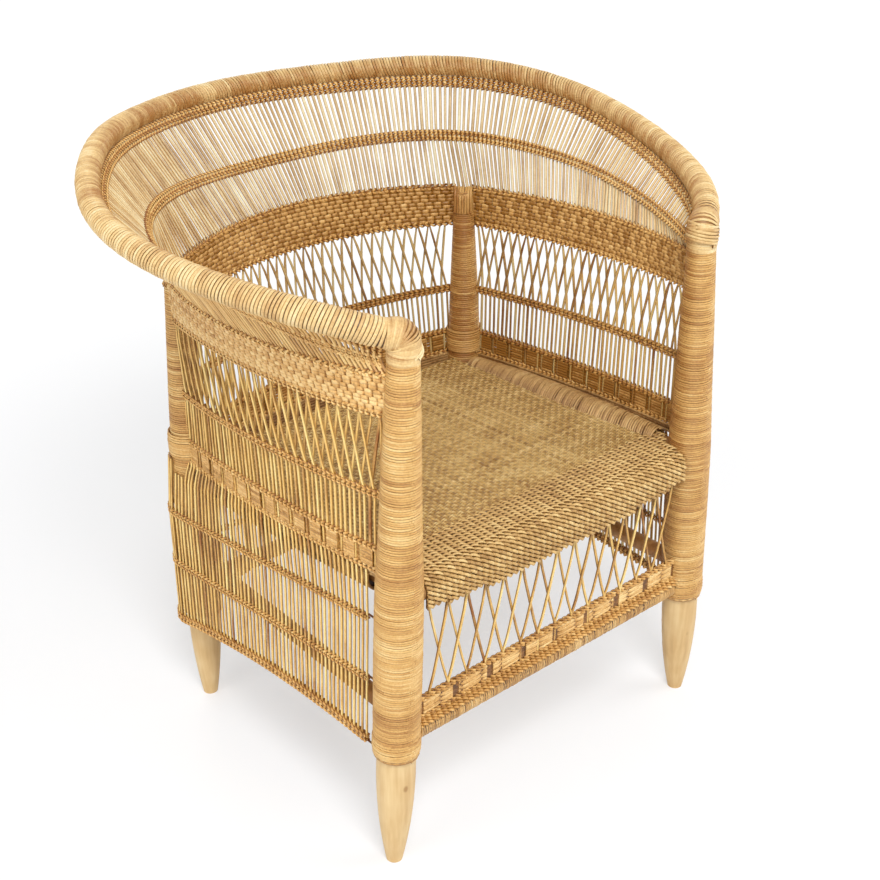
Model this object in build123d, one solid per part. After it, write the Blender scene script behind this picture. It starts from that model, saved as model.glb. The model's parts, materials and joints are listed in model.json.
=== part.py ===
from build123d import *
import os
from math import cos, radians, sin, sqrt

# Round-backed woven cane armchair: a frame of peeled poles, bound in split cane, whose two side
# walls and back wall are panels of round stakes held between rows of twining. The walls flare out
# at the top to a bent pole that runs from one front post, round the back, to the other.
# Millimetres. +Z up, the sitter faces -Y, and the origin is on the floor at the middle of the
# bounding box. Everything is drawn with the front posts at y = 0 and moved on export.

CENTRE_Y = 329.4           # from the line of the front posts to the middle of the chair

# ---- posts: tapered poles with turned-down feet ----
FRONT_HALF = 261           # half the distance between the front posts at the floor
FRONT_LEAN = 0.0365        # how far a front post leans inwards per millimetre of height
REAR_HALF = 244
REAR_LEAN = 0.006
REAR_Y = 428               # the rear posts stand this far behind the front ones
REAR_RAKE = 0.009
FRONT_TOP = 689            # the front posts end under the hoop
REAR_TOP = 630             # the rear posts end at the top of the plaited band
TIP_RADIUS = 10            # the flat end of a foot
FRONT_POLE = (23.8, 13.5)  # radius above the foot, and at the top
REAR_POLE = (21.6, 10)
FOOT_TOP = 150             # where the foot's taper starts
FOOT_BELLY = (19.4, 60)    # radius and height half-way down a front foot
REAR_BELLY = (17.4, 56)

# ---- cane binding round the posts: (height, outer radius) from the bottom up ----
FRONT_SLEEVE = [(165, 27.6), (310, 27.8), (395, 27), (470, 23.8), (600, 19.8), (688, 16.8)]
REAR_SLEEVE = [(141, 25.4), (330, 25.2), (470, 20), (629, 12.6)]

# ---- lashings: short collars of cane over the bindings, (bottom, top, outer radius) ----
ARM_LASHING = (675, 697, 19.6)
REAR_LASHING = (385, 421, 26.4)
APRON_LASHING = (167, 196, 29.2)

# ---- rails and stretchers: round poles let into the posts ----
LET_IN = 8                 # how deep a rail's end sits in its post
SIDE_RAIL_Y = (16, 13.5)   # the seat's side rails stop this far from the posts' axes
RAIL_RADIUS = 13
FRONT_RAIL_RADIUS = 15
STRETCHER_RADIUS = 11
SEAT_FRONT = 402           # top of the seat behind the front roll
SEAT_FALL = 24             # the seat drops this much towards the back
FRONT_RAIL_Z = 381
SIDE_RAIL_Z = (388, 358)   # front end, rear end
SIDE_RAIL_IN = (11.5, 6)   # they run this far inside the line of the posts, front and rear
BACK_RAIL_Z = 356
APRON_RAIL_Z = 185
SIDE_STRETCHER_Z = 214
STRETCHER_IN = 6           # the side stretchers run this far inside the line of the posts
BACK_STRETCHER_Z = 184
BINDING = 3                # thickness of cane wound on a rail
SIDE_ROLL = (20, 24)       # the side rails are wound several times over: radius at the ends and
                           # half-way, where the walls bulge
BEARER_RADIUS = 9
BEARER_Y = [120, 215, 310]
BEARER_DROP = 0.6          # slack between a bearer and the sloping mat
MAT = 5                    # thickness of the woven seat
ROLL_BACK = 52             # the coarse front roll reaches this far back over the seat
ROLL_DROP = (358, 344)     # lower edge of the roll at its ends and at its middle
ROLL_SKIN = 5
ROLL_GAP = 1               # between the front roll and the posts' bindings
SIDE_ROLL_GAPS = (37, 14)  # the cane on a side rail stops short of its ends, front and rear
BACK_ROLL_GAP = 26         # and on the back rail, from the rear posts' axes

# ---- hoop: half of its centre line, from the left front end to the middle of the back ----
HOOP_HALF = [(-247, 7, 703.5), (-284, 40, 716), (-323, 101, 727), (-368, 223, 742), (-374, 358, 762),
             (-299, 498, 781), (-162, 626, 771), (0, 675, 766)]
HOOP_RADII = (15, 13)      # bound hoop at its front ends, and from the arms back
HOOP_THICK_END = 0.2       # the thicker stretch, as a share of the whole length
HOOP_CORE_RADIUS = 9
HOOP_CORE_SIDES = 8        # the pole is pared to flats so that the binding grips it
HOOP_STATIONS = 25
KNUCKLE = (238, 3, 702)    # middle of the lashed knuckle that holds a hoop end on its post
KNUCKLE_RADIUS = 17.5
# the middle row of the flare, half of its line, from the left front post
MID_ROW_HALF = [(-246, 14, 656), (-290, 130, 680), (-309, 245, 690), (-299, 360, 696),
                (-256, 458, 699), (-180, 534, 694), (-92, 576, 686), (0, 590, 682)]

# ---- walls: heights at the front and rear posts, distance outside the line of the posts at the
# front, at the rear and behind the rear posts, and the bulge of the side and back panels ----
LEVELS = {
    "hem": (160, 138, 9, 32, 32, 0, 0),
    "lower_row": (255, 228, 9, 32, 32, 0, 0),
    "upper_row": (341, 306, 9, 32, 32, 0, 0),
    "skirt_top": (400, 366, 9, 26, 26, 6, 8),
    "window_low": (412, 381, 9, 8, 12, 11, 22),
    "window_high": (440, 413, 9, 7.4, 11.4, 13, 30),
    "thin_band": (511, 479, 9, 6, 10, 18, 47),
    "plait_low": (610, 579, 9, 6, 10, 27, 76),
    "plait_high": (656, 631, 9, 6, 10, 41, 97),
}
SKIRT = ("hem", "lower_row", "upper_row", "skirt_top")
HEM_ARCH = 17              # the hem rises in the middle of each panel
SKIRT_START = 42           # the skirt's free front edge stands this far behind the front post
STAKE = 3.2                # thickness of a stake
STAKE_PITCH = 17           # from one stake of a panel to the next
STAKE_SIDES = 4            # a stake is drawn with four faces
LATTICE_LEAN = 26          # a stake of the lattice leans over by this much
ROW = 1.8                  # thickness of one row of twining, which lies on each face of a panel
ROW_HEIGHTS = {"hem": 12, "lower_row": 9, "upper_row": 9, "thin_band": 11, "mid_row": 10,
               "rim_row": 11}
CORNER_STAKES = (15, 45, 75)  # where the skirt's stakes stand round a rear post, in degrees
CORNER_TOP = (384, 27)     # height and distance from the post's axis of their upper ends
WINDOW_EDGE = 8            # height of the two twined rows that edge the window band
WINDOW_PITCH = 36          # from one window to the next
WINDOW_PANEL = 25          # width of the plaited panel between two windows
FLARE_STAKES = 74
FLARE_RUNS = (438, 528)    # the plaited band's share of them: each side wall, and the back
FLARE_SPANS = {"left": (0.02, 0.32), "back": (0.32, 0.68), "right": (0.68, 0.98)}
RIM_GAP = 8                # from the bound hoop to the middle of the rim row
ROW_SLACK = 0.8            # a row on the flare stands this much clear of its bent stakes
PANEL_SLACK = {"hem": 0.4, "lower_row": 0.4, "upper_row": 0.4, "thin_band": 0.5,
               "window_low": 1.5, "window_high": 0.5}

# ---- front apron ----
APRON_PAIRS = 14           # crossing pairs of stakes
APRON_BAND = (199, 233)    # bottom and top of the woven band above the apron rail
APRON_Y = -7
TIE_RADIUS = 1.3

SIDES = {"left": -1, "right": 1}
PARTS = {}


def front_axis(z, side):
    return Vector(side * (FRONT_HALF - FRONT_LEAN * z), 0, z)


def rear_axis(z, side):
    return Vector(side * (REAR_HALF - REAR_LEAN * z), REAR_Y + REAR_RAKE * z, z)


# ---------------------------------------------------------------- shared shapes

def rod(start, end, radius):
    """A straight round pole from one point to another."""
    along = Vector(*end) - Vector(*start)
    return extrude(Plane(origin=start, z_dir=along) * Circle(radius), along.length)


def stake_face(point, along, thickness=STAKE):
    """The cut end of a stake, square across its run."""
    plane = Plane(origin=point, x_dir=Vector(0, 0, 1).cross(along), z_dir=along)
    return plane * RegularPolygon(thickness / 2, STAKE_SIDES, major_radius=False, rotation=45)


def stake(points, thickness=STAKE):
    """One stake along a short run of points, mitred where it bends."""
    path = Polyline(*points) if len(points) > 2 else Line(*points)
    start = stake_face(points[0], Vector(*points[1]) - Vector(*points[0]), thickness)
    return sweep(start, path=path, transition=Transition.RIGHT)


def ribbon(corner_sets, ruled=False):
    """A curved flat strip lofted through four corners at each station."""
    return Solid.make_loft([Wire.make_polygon(corners, close=True) for corners in corner_sets],
                           ruled=ruled)


def strip(stations, low, high, inner, outer, ruled=False):
    """A strip from low to high, between two layers, along stations of (point, up, normal)."""
    places = ((low, inner), (low, outer), (high, outer), (high, inner))
    return ribbon([[point + up * a + normal * b for a, b in places]
                   for point, up, normal in stations], ruled)


def double_strip(stations, height, layer, ruled=False):
    """The two faces of a woven band: one strip outside the stakes and one inside."""
    low, high = -height / 2, height / 2
    return [strip(stations, low, high, layer, layer + ROW, ruled),
            strip(stations, low, high, -layer - ROW, -layer, ruled)]


# ---------------------------------------------------------------- wall surfaces

def wall_point(wall, level, t):
    """A point on the middle of a wall at a named level; t runs from 0 to 1 along the wall."""
    front_z, rear_z, front_out, rear_out, back_out, side_bulge, back_bulge = LEVELS[level]
    belly = 4 * t * (1 - t)
    arch = HEM_ARCH * belly if level == "hem" else 0
    if wall == "back":
        corner = rear_axis(rear_z, 1)
        half = corner.X + (0 if level in SKIRT else rear_out)
        return Vector(half * (2 * t - 1), corner.Y + back_out + back_bulge * belly, rear_z + arch)
    side = SIDES[wall]
    start = front_axis(front_z, side) + Vector(side * front_out, 0, 0)
    end = rear_axis(rear_z, side) + Vector(side * rear_out, 0 if level in SKIRT else back_out, 0)
    return start + (end - start) * t + Vector(side * side_bulge * belly, 0, arch)


def sleeve_radius(end, z):
    """Outer radius of a post's binding or rear lashing at a height."""
    stations = FRONT_SLEEVE if end == "front" else REAR_SLEEVE
    bottom, top, lashed = REAR_LASHING
    if end == "rear" and bottom - WINDOW_EDGE < z < top + WINDOW_EDGE:
        return lashed
    for (low, wide), (high, narrow) in zip(stations, stations[1:]):
        if z <= high:
            return wide + (narrow - wide) * (z - low) / (high - low)
    return stations[-1][1]


def clearance(end, z, out):
    """How far from a post's axis a wall has to stop to meet the binding's surface."""
    return sqrt(max(sleeve_radius(end, z) ** 2 - max(out - STAKE - ROW, 0) ** 2, 0)) + 0.5


def wall_span(wall, level):
    """Where a panel starts and stops along its wall, as shares of its length."""
    front_z, rear_z, front_out, rear_out, back_out = LEVELS[level][:5]
    if wall == "back":
        if level in SKIRT:
            return 0, 1
        stop = (rear_out + clearance("rear", rear_z, back_out)) / (
            2 * (rear_axis(rear_z, 1).X + rear_out))
        return stop, 1 - stop
    if level in SKIRT:
        return SKIRT_START / REAR_Y, 1
    length = rear_axis(rear_z, 1).Y + back_out
    stop = back_out + clearance("rear", rear_z, rear_out)
    return clearance("front", front_z, front_out) / length, 1 - stop / length


def wall_frame(wall, level, t, above):
    """Point, up and outward normal of a wall; above is the level that the wall leans towards."""
    point = wall_point(wall, level, t)
    up = (wall_point(wall, above, t) - point).normalized()
    step = 0.01
    along = wall_point(wall, level, t + step) - wall_point(wall, level, t - step)
    normal = along.cross(up).normalized()
    out = Vector(0, 1, 0) if wall == "back" else Vector(SIDES[wall], 0, 0)
    return point, up, normal if normal.dot(out) > 0 else -normal


def wall_stations(wall, level, above, count):
    first, last = wall_span(wall, level)
    ts = [first + (last - first) * i / (count - 1) for i in range(count)]
    return [wall_frame(wall, level, t, above) for t in ts]


def corner_frame(side, level, turn):
    """A frame of the skirt where it goes round a rear post; turn is in degrees."""
    rear_z, out = LEVELS[level][1], LEVELS[level][3]
    normal = Vector(side * cos(radians(turn)), sin(radians(turn)), 0)
    return rear_axis(rear_z, side) + normal * out, Vector(0, 0, 1), normal


def skirt_stations(wall, level):
    """Stations of a skirt row: its straight run, and its half of the turn round each rear post."""
    first, last = wall_span(wall, level)
    count = 5 if level == "hem" else 2
    run = []
    for i in range(count):
        t = first + (last - first) * i / (count - 1)
        out = Vector(0, 1, 0) if wall == "back" else Vector(SIDES[wall], 0, 0)
        run.append((wall_point(wall, level, t), Vector(0, 0, 1), out))
    if wall == "back":
        left = [corner_frame(-1, level, turn) for turn in (45, 67.5)]
        right = [corner_frame(1, level, turn) for turn in (67.5, 45)]
        return left + run + right
    return run + [corner_frame(SIDES[wall], level, turn) for turn in (22.5, 45)]


def mirrored(half):
    """A line round the chair from its left half."""
    return Spline(*half, *[(-x, y, z) for x, y, z in reversed(half[:-1])])


MID_ROW = mirrored(MID_ROW_HALF)
HOOP = mirrored(HOOP_HALF)


def plait_top(u):
    """The plaited band's top edge as one line round the chair; u runs from 0 to 1."""
    side_length, back_length = FLARE_RUNS
    total = 2 * side_length + back_length
    run = u * total
    if run < side_length:
        return wall_point("left", "plait_high", run / side_length)
    if run < side_length + back_length:
        return wall_point("back", "plait_high", (run - side_length) / back_length)
    return wall_point("right", "plait_high", (total - run) / side_length)


def hoop_radius(u):
    ends, rest = HOOP_RADII
    edge = min(u, 1 - u)
    return rest + (ends - rest) * max(0, 1 - edge / HOOP_THICK_END)


def flare_tip(u):
    """Where a stake of the flare meets the underside of the bound hoop."""
    middle, high = MID_ROW @ u, HOOP @ u
    return high - (high - middle).normalized() * hoop_radius(u)


def flare_frame(u, row):
    """A frame of the middle row or the rim row of the flare."""
    low, middle, tip = plait_top(u), MID_ROW @ u, flare_tip(u)
    if row == "mid_row":
        up = ((middle - low).normalized() + (tip - middle).normalized()).normalized()
        point, along = middle, MID_ROW % u
    else:
        up = (tip - middle).normalized()
        point, along = tip - up * RIM_GAP, HOOP % u
    return point, up, along.cross(up).normalized()


# ---------------------------------------------------------------- frame poles

def pole(radii, belly, top):
    """An upright pole: a flat tip, a swelling foot and a long straight taper."""
    shaft, tip = radii
    profile = Polyline((shaft, FOOT_TOP), (tip, top), (0, top), (0, 0), (TIP_RADIUS, 0))
    profile += ThreePointArc((TIP_RADIUS, 0), belly, (shaft, FOOT_TOP))
    return revolve(Plane.XZ * make_face(profile), Axis.Z)


def sleeve(stations):
    """The outer form of the cane wound round a post."""
    outline = [(radius, z) for z, radius in stations]
    face = make_face(Polyline((0, stations[0][0]), *outline, (0, stations[-1][0]),
                              (0, stations[0][0])))
    return revolve(Plane.XZ * face, Axis.Z)


def collar(wound):
    """A lashing: a barrel of cane turned tightly round a post's binding."""
    bottom, top, radius = wound
    middle, edge = (bottom + top) / 2, radius - 1.4
    profile = Polyline((edge, top), (0, top), (0, bottom), (edge, bottom))
    profile += ThreePointArc((edge, bottom), (radius, middle), (edge, top))
    return revolve(Plane.XZ * make_face(profile), Axis.Z)


def stand(shape, axis, side, top):
    """Leans an upright shape onto its post's line."""
    foot, head = axis(0, side), axis(top, side)
    lean = Plane(origin=foot, x_dir=(1, 0, 0), z_dir=head - foot)
    return lean.location * shape


def post_and_sleeve(end, side):
    """One post and its binding, before the rails are let in."""
    front = end == "front"
    axis = front_axis if front else rear_axis
    top = FRONT_TOP if front else REAR_TOP
    radii, belly = (FRONT_POLE, FOOT_BELLY) if front else (REAR_POLE, REAR_BELLY)
    post = stand(pole(radii, belly, top), axis, side, top)
    floor = Pos(0, 0, -20) * Box(2000, 2000, 40)
    wound = stand(sleeve(FRONT_SLEEVE if front else REAR_SLEEVE), axis, side, top)
    return post - floor, wound


def pole_radius(end, z):
    top, (low, high) = (FRONT_TOP, FRONT_POLE) if end == "front" else (REAR_TOP, REAR_POLE)
    return low + (high - low) * max(0, z - FOOT_TOP) / (top - FOOT_TOP)


def between_posts(start, end, start_post, end_post, radius):
    """A rail between two posts, let into each of them by LET_IN."""
    start, end = Vector(*start), Vector(*end)
    along = (end - start).normalized()
    start = start + along * (pole_radius(start_post, start.Z) - LET_IN)
    end = end - along * (pole_radius(end_post, end.Z) - LET_IN)
    return rod(start, end, radius)


def side_rail_ends(side):
    """Ends of a seat rail's axis, beside the front post and beside the rear one."""
    (front_z, rear_z), (front_in, rear_in) = SIDE_RAIL_Z, SIDE_RAIL_IN
    start = front_axis(front_z, side) + Vector(-side * front_in, SIDE_RAIL_Y[0], 0)
    end = rear_axis(rear_z, side) - Vector(side * rear_in, SIDE_RAIL_Y[1], 0)
    return start, end


def rails():
    """Seat rails and stretchers by name."""
    across = {"seat_front_rail": (front_axis, "front", FRONT_RAIL_Z, FRONT_RAIL_RADIUS),
              "seat_back_rail": (rear_axis, "rear", BACK_RAIL_Z, RAIL_RADIUS),
              "apron_rail": (front_axis, "front", APRON_RAIL_Z, STRETCHER_RADIUS),
              "back_stretcher": (rear_axis, "rear", BACK_STRETCHER_Z, STRETCHER_RADIUS)}
    made = {}
    for name, (axis, end, z, radius) in across.items():
        made[name] = between_posts(axis(z, -1), axis(z, 1), end, end, radius)
    for name, side in SIDES.items():
        made[f"seat_{name}_rail"] = rod(*side_rail_ends(side), RAIL_RADIUS)
        inward = Vector(-side * STRETCHER_IN, 0, 0)
        z = SIDE_STRETCHER_Z
        made[f"{name}_stretcher"] = between_posts(
            front_axis(z, side) + inward, rear_axis(z, side) + inward,
            "front", "rear", STRETCHER_RADIUS)
    return made


def make_frame(hoop):
    """Posts drilled for the rails, the bindings wound round them, and the lashings on top."""
    rail = rails()
    lashings = {"arm_lashings": [], "rear_lashings": [], "apron_lashings": [], "arm_caps": []}
    for end in ("front", "rear"):
        for name, side in SIDES.items():
            post, wound = post_and_sleeve(end, side)
            meets = [rail[f"seat_{name}_rail"], rail[f"{name}_stretcher"]]
            over = []
            if end == "front":
                meets += [rail["seat_front_rail"], rail["apron_rail"]]
                around = {"arm_lashings": ARM_LASHING, "apron_lashings": APRON_LASHING}
                over = [knuckle(side), hoop]
                lashings["arm_caps"] += (knuckle(side) - [hoop, wound, post]).solids()
            else:
                meets += [rail["seat_back_rail"], rail["back_stretcher"]]
                around = {"rear_lashings": REAR_LASHING}
            axis, top = (front_axis, FRONT_TOP) if end == "front" else (rear_axis, REAR_TOP)
            for lashing, size in around.items():
                turned = stand(collar(size), axis, side, top)
                lashings[lashing] += (turned - [wound, post, *meets, *over]).solids()
            PARTS[f"{end}_{name}_post"] = post - meets
            PARTS[f"{end}_{name}_binding"] = wound - [post, *meets]
    for lashing, shapes in lashings.items():
        PARTS[lashing] = Compound(shapes)
    return rail


# ---------------------------------------------------------------- seat

def seat_top(y):
    return SEAT_FRONT - SEAT_FALL * (y - ROLL_BACK) / (REAR_Y - ROLL_BACK)


def seat_bearers(rail):
    """Three poles under the seat, let into the side rails."""
    reach = rear_axis(SIDE_RAIL_Z[1], 1).X - SIDE_RAIL_IN[1] - RAIL_RADIUS + LET_IN / 2
    poles = []
    for y in BEARER_Y:
        z = seat_top(y) - MAT - BEARER_RADIUS - BEARER_DROP
        poles.append(rod((-reach, y, z), (reach, y, z), BEARER_RADIUS))
    for name in SIDES:
        PARTS[f"seat_{name}_rail"] = rail[f"seat_{name}_rail"] - poles
    PARTS["seat_bearers"] = Compound(poles)
    return poles


def bound_rail(rail_shape, radius, start, end, first_gap, last_gap):
    """Cane wound on a rail up to a radius, from one post's binding to the other's."""
    along = (end - start).normalized()
    return rod(start + along * first_gap, end - along * last_gap, radius) - rail_shape


def make_seat(rail):
    poles = seat_bearers(rail)
    for name, side in SIDES.items():
        start, end = side_rail_ends(side)
        wound = side_roll(start, end) - rail[f"seat_{name}_rail"]
        PARTS[f"seat_{name}_roll"] = wound - poles
    PARTS["seat_back_roll"] = bound_rail(rail["seat_back_rail"], RAIL_RADIUS + BINDING,
                                         rear_axis(BACK_RAIL_Z, -1), rear_axis(BACK_RAIL_Z, 1),
                                         BACK_ROLL_GAP, BACK_ROLL_GAP)
    PARTS["seat_mat"] = seat_mat()
    PARTS["seat_front_roll"] = front_roll()


def side_roll(start, end):
    """The barrel of cane wound over a side rail; it fills the gap between seat and wall."""
    along = end - start
    first, last = SIDE_ROLL_GAPS[0], along.length - SIDE_ROLL_GAPS[1]
    narrow, wide = SIDE_ROLL
    profile = Polyline((narrow, last), (0, last), (0, first), (narrow, first))
    profile += ThreePointArc((narrow, first), (wide, (first + last) / 2), (narrow, last))
    return Plane(origin=start, z_dir=along).location * revolve(Plane.XZ * make_face(profile),
                                                               Axis.Z)


def seat_mat():
    """The woven panel, from the front roll to the back rail, between the side rolls."""
    half = front_axis(SIDE_RAIL_Z[0], 1).X - SIDE_RAIL_IN[0] - SIDE_ROLL[0]
    front, back = ROLL_BACK, REAR_Y - 1
    side_view = make_face(Polyline((front, seat_top(front)), (back, seat_top(back)),
                                   (back, seat_top(back) - MAT), (front, seat_top(front) - MAT),
                                   (front, seat_top(front))))
    return extrude(Plane.YZ * side_view, half, both=True)


def front_roll():
    """The coarse weave that turns over the front rail and hangs down in front of it."""
    core, skin = FRONT_RAIL_RADIUS, ROLL_SKIN
    top, drop = FRONT_RAIL_Z + core, min(ROLL_DROP)
    outside = core + skin
    outline = Polyline((0, top), (ROLL_BACK, top), (ROLL_BACK, SEAT_FRONT + 0.5))
    outline += ThreePointArc((ROLL_BACK, SEAT_FRONT + 0.5), (ROLL_BACK / 2, SEAT_FRONT + 0.6),
                             (0, FRONT_RAIL_Z + outside))
    bend = radians(45)
    outline += ThreePointArc((0, FRONT_RAIL_Z + outside),
                             (-outside * sin(bend), FRONT_RAIL_Z + outside * cos(bend)),
                             (-outside, FRONT_RAIL_Z))
    outline += Polyline((-outside, FRONT_RAIL_Z), (-outside, drop), (-core, drop),
                        (-core, FRONT_RAIL_Z))
    outline += ThreePointArc((-core, FRONT_RAIL_Z),
                             (-core * sin(bend), FRONT_RAIL_Z + core * cos(bend)), (0, top))
    half = front_axis(FRONT_RAIL_Z, 1).X - sleeve_radius("front", FRONT_RAIL_Z) - ROLL_GAP
    weave = extrude(Plane.YZ * make_face(outline), half, both=True)
    ends, middle = ROLL_DROP
    belly = Polyline((-half, ends), (-half, middle - 1), (half, middle - 1), (half, ends))
    belly += ThreePointArc((half, ends), (0, middle), (-half, ends))
    return weave - extrude(Plane.XZ * make_face(belly), 2 * outside, both=True)


# ---------------------------------------------------------------- hoop

def make_hoop():
    """The bent pole and the cane wound on it, thicker over the arms."""
    flats = Plane(origin=HOOP @ 0, x_dir=(0, 0, 1), z_dir=HOOP % 0) * RegularPolygon(
        HOOP_CORE_RADIUS, HOOP_CORE_SIDES)
    core = sweep(flats, path=HOOP)
    rings = []
    for i in range(HOOP_STATIONS):
        u = i / (HOOP_STATIONS - 1)
        plane = Plane(origin=HOOP @ u, x_dir=(0, 0, 1), z_dir=HOOP % u)
        rings.append(plane * Circle(hoop_radius(u)))
    whole = loft(rings)
    PARTS["hoop_pole"] = core
    PARTS["hoop_binding"] = whole - core
    return whole


def knuckle(side):
    """The ball of lashing that holds an end of the hoop on the top of its post."""
    x, y, z = KNUCKLE
    return Pos(side * x, y, z) * Sphere(KNUCKLE_RADIUS)


# ---------------------------------------------------------------- walls

def stake_run(wall, places, layer):
    """One stake through (level, level above, t) places, in the inner or the outer layer."""
    path = []
    for level, above, t in places:
        point, up, normal = wall_frame(wall, level, t, above)
        path.append(point + normal * layer)
    return stake(path)


def panel_stakes(wall):
    """Stakes from the hem to the plaited band: straight, then crossing in a lattice."""
    first, last = wall_span(wall, "thin_band")
    lattice_first, lattice_last = wall_span(wall, "plait_low")
    length = 2 * REAR_HALF if wall == "back" else REAR_Y
    margin = STAKE / length
    count = round((last - first) * length / STAKE_PITCH)
    made = []
    for i in range(count):
        t = first + (last - first) * (i + 0.5) / count
        layer, lean = (STAKE / 2, LATTICE_LEAN) if i % 2 else (-STAKE / 2, -LATTICE_LEAN)
        top_t = min(max(t + lean / length, lattice_first + margin), lattice_last - margin)
        places = [("window_low", "window_high", t), ("thin_band", "plait_low", t),
                  ("plait_low", "plait_high", top_t)]
        if wall == "back" or t > SKIRT_START / length:
            places = [("hem", "lower_row", t), ("upper_row", "skirt_top", t)] + places
        made.append(stake_run(wall, places, layer))
    if wall != "back":
        height, out = CORNER_TOP
        for turn in CORNER_STAKES:
            path = [corner_frame(SIDES[wall], level, turn)[0] for level in ("hem", "upper_row")]
            away = Vector(SIDES[wall] * cos(radians(turn)), sin(radians(turn)), 0)
            made.append(stake(path + [rear_axis(height, SIDES[wall]) + away * out]))
    return Compound(made)


def window_band(wall):
    """Two twined edges with plaited panels between them, and a gap for each window."""
    pieces = []
    for level, above in (("window_low", "window_high"), ("window_high", "thin_band")):
        pieces += double_strip(wall_stations(wall, level, above, 5), WINDOW_EDGE,
                               STAKE + PANEL_SLACK[level])
    first, last = wall_span(wall, "window_low")
    length = 2 * REAR_HALF if wall == "back" else REAR_Y
    count = int((last - first) * length / WINDOW_PITCH)
    half = WINDOW_PANEL / 2 / length
    for i in range(count):
        middle = first + (last - first) * (i + 0.5) / count
        panel = [wall_frame(wall, "window_low", t, "window_high")
                 for t in (middle - half, middle + half)]
        rise = wall_point(wall, "window_high", middle) - wall_point(wall, "window_low", middle)
        pieces.append(strip(panel, WINDOW_EDGE / 2, rise.length - WINDOW_EDGE / 2,
                            STAKE + PANEL_SLACK["window_high"],
                            STAKE + PANEL_SLACK["window_high"] + ROW, ruled=True))
    return pieces


def plaited_band(wall):
    """The deep band of flat-strip plait, one face outside the stakes and one inside."""
    stations = wall_stations(wall, "plait_low", "plait_high", 7 if wall == "back" else 5)
    first, last = wall_span(wall, "plait_low")
    pieces = []
    for inner, outer in ((STAKE, STAKE + ROW), (-STAKE - ROW, -STAKE)):
        corner_sets = []
        for i, (point, up, normal) in enumerate(stations):
            top = wall_point(wall, "plait_high", first + (last - first) * i / (len(stations) - 1))
            corner_sets.append([point + normal * inner, point + normal * outer,
                                top + normal * outer, top + normal * inner])
        pieces.append(ribbon(corner_sets))
    return pieces


def make_walls():
    for wall in ("left", "back", "right"):
        PARTS[f"{wall}_stakes"] = panel_stakes(wall)
        rows = [double_strip(skirt_stations(wall, level), ROW_HEIGHTS[level],
                             STAKE + PANEL_SLACK[level], ruled=True)
                for level in ("hem", "lower_row", "upper_row")]
        PARTS[f"{wall}_hem"] = Compound(rows[0])
        PARTS[f"{wall}_skirt_rows"] = Compound(rows[1] + rows[2])
        thin = wall_stations(wall, "thin_band", "plait_low", 5)
        PARTS[f"{wall}_thin_band"] = Compound(
            double_strip(thin, ROW_HEIGHTS["thin_band"], STAKE + PANEL_SLACK["thin_band"]))
        PARTS[f"{wall}_window_band"] = Compound(window_band(wall))
        PARTS[f"{wall}_plaited_band"] = Compound(plaited_band(wall))


# ---------------------------------------------------------------- flare

def make_flare():
    """Stakes fanning from the plaited band out to the hoop, with two rows of twining on them."""
    for wall, (first, last) in FLARE_SPANS.items():
        places = [(i + 0.5) / FLARE_STAKES for i in range(FLARE_STAKES)]
        PARTS[f"{wall}_flare_stakes"] = Compound(
            [stake([plait_top(u), MID_ROW @ u, flare_tip(u)]) for u in places if first <= u < last])
        for row in ("mid_row", "rim_row"):
            frames = [flare_frame(first + (last - first) * i / 6, row) for i in range(7)]
            PARTS[f"{wall}_{row}"] = Compound(
                double_strip(frames, ROW_HEIGHTS[row], STAKE / 2 + ROW_SLACK))


# ---------------------------------------------------------------- apron and lashings

def make_apron(rail):
    low, high = APRON_BAND
    half = front_axis(high, 1).X - FRONT_SLEEVE[1][1]
    pitch = 2 * half / (APRON_PAIRS + 1)
    stakes = []
    for i in range(APRON_PAIRS):
        x = -half + pitch * (i + 0.5)
        for lean, y in ((pitch, APRON_Y - STAKE / 2), (-pitch, APRON_Y + STAKE / 2)):
            foot, head = (x, x + pitch) if lean < 0 else (x + pitch, x)
            top = max(ROLL_DROP) - (max(ROLL_DROP) - min(ROLL_DROP)) * (1 - (head / half) ** 2)
            stakes.append(stake([(foot, y, low), (head, y, top)]))
    PARTS["apron_stakes"] = Compound(stakes)
    faces = []
    for y in (APRON_Y - STAKE - ROW / 2, APRON_Y + STAKE + ROW / 2):
        faces.append(Pos(0, y, (low + high) / 2) * Box(2 * half, ROW, high - low))
    PARTS["apron_band"] = Compound(faces)
    gap = APRON_LASHING[2]
    PARTS["apron_rail_binding"] = bound_rail(rail["apron_rail"], STRETCHER_RADIUS + BINDING,
                                             front_axis(APRON_RAIL_Z, -1),
                                             front_axis(APRON_RAIL_Z, 1), gap, gap)


def make_ties():
    """Short loops of cane that tie the skirt's free front edges back to the front posts."""
    ties = []
    for side in SIDES.values():
        for level in ("hem", "lower_row", "upper_row"):
            z, out = LEVELS[level][0], LEVELS[level][2]
            end = front_axis(z, side) + Vector(side * out, SKIRT_START, 0)
            start = front_axis(z, side) + Vector(side * out, FRONT_SLEEVE[1][1] - 2, 0)
            ties.append(rod(start, end, TIE_RADIUS))
    PARTS["skirt_ties"] = Compound(ties)


def export(name, shape):
    export_step(Pos(0, -CENTRE_Y, 0) * shape, f"parts/{name}.step")


def build():
    os.makedirs("parts", exist_ok=True)
    rail = make_frame(make_hoop())
    for name, shape in rail.items():
        PARTS[name] = shape
    make_seat(rail)
    make_walls()
    make_flare()
    make_apron(rail)
    make_ties()
    for name, shape in PARTS.items():
        export(name, shape)


build()
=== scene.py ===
import json
from collections import namedtuple
from math import cos, pi, radians, sin, sqrt

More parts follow.
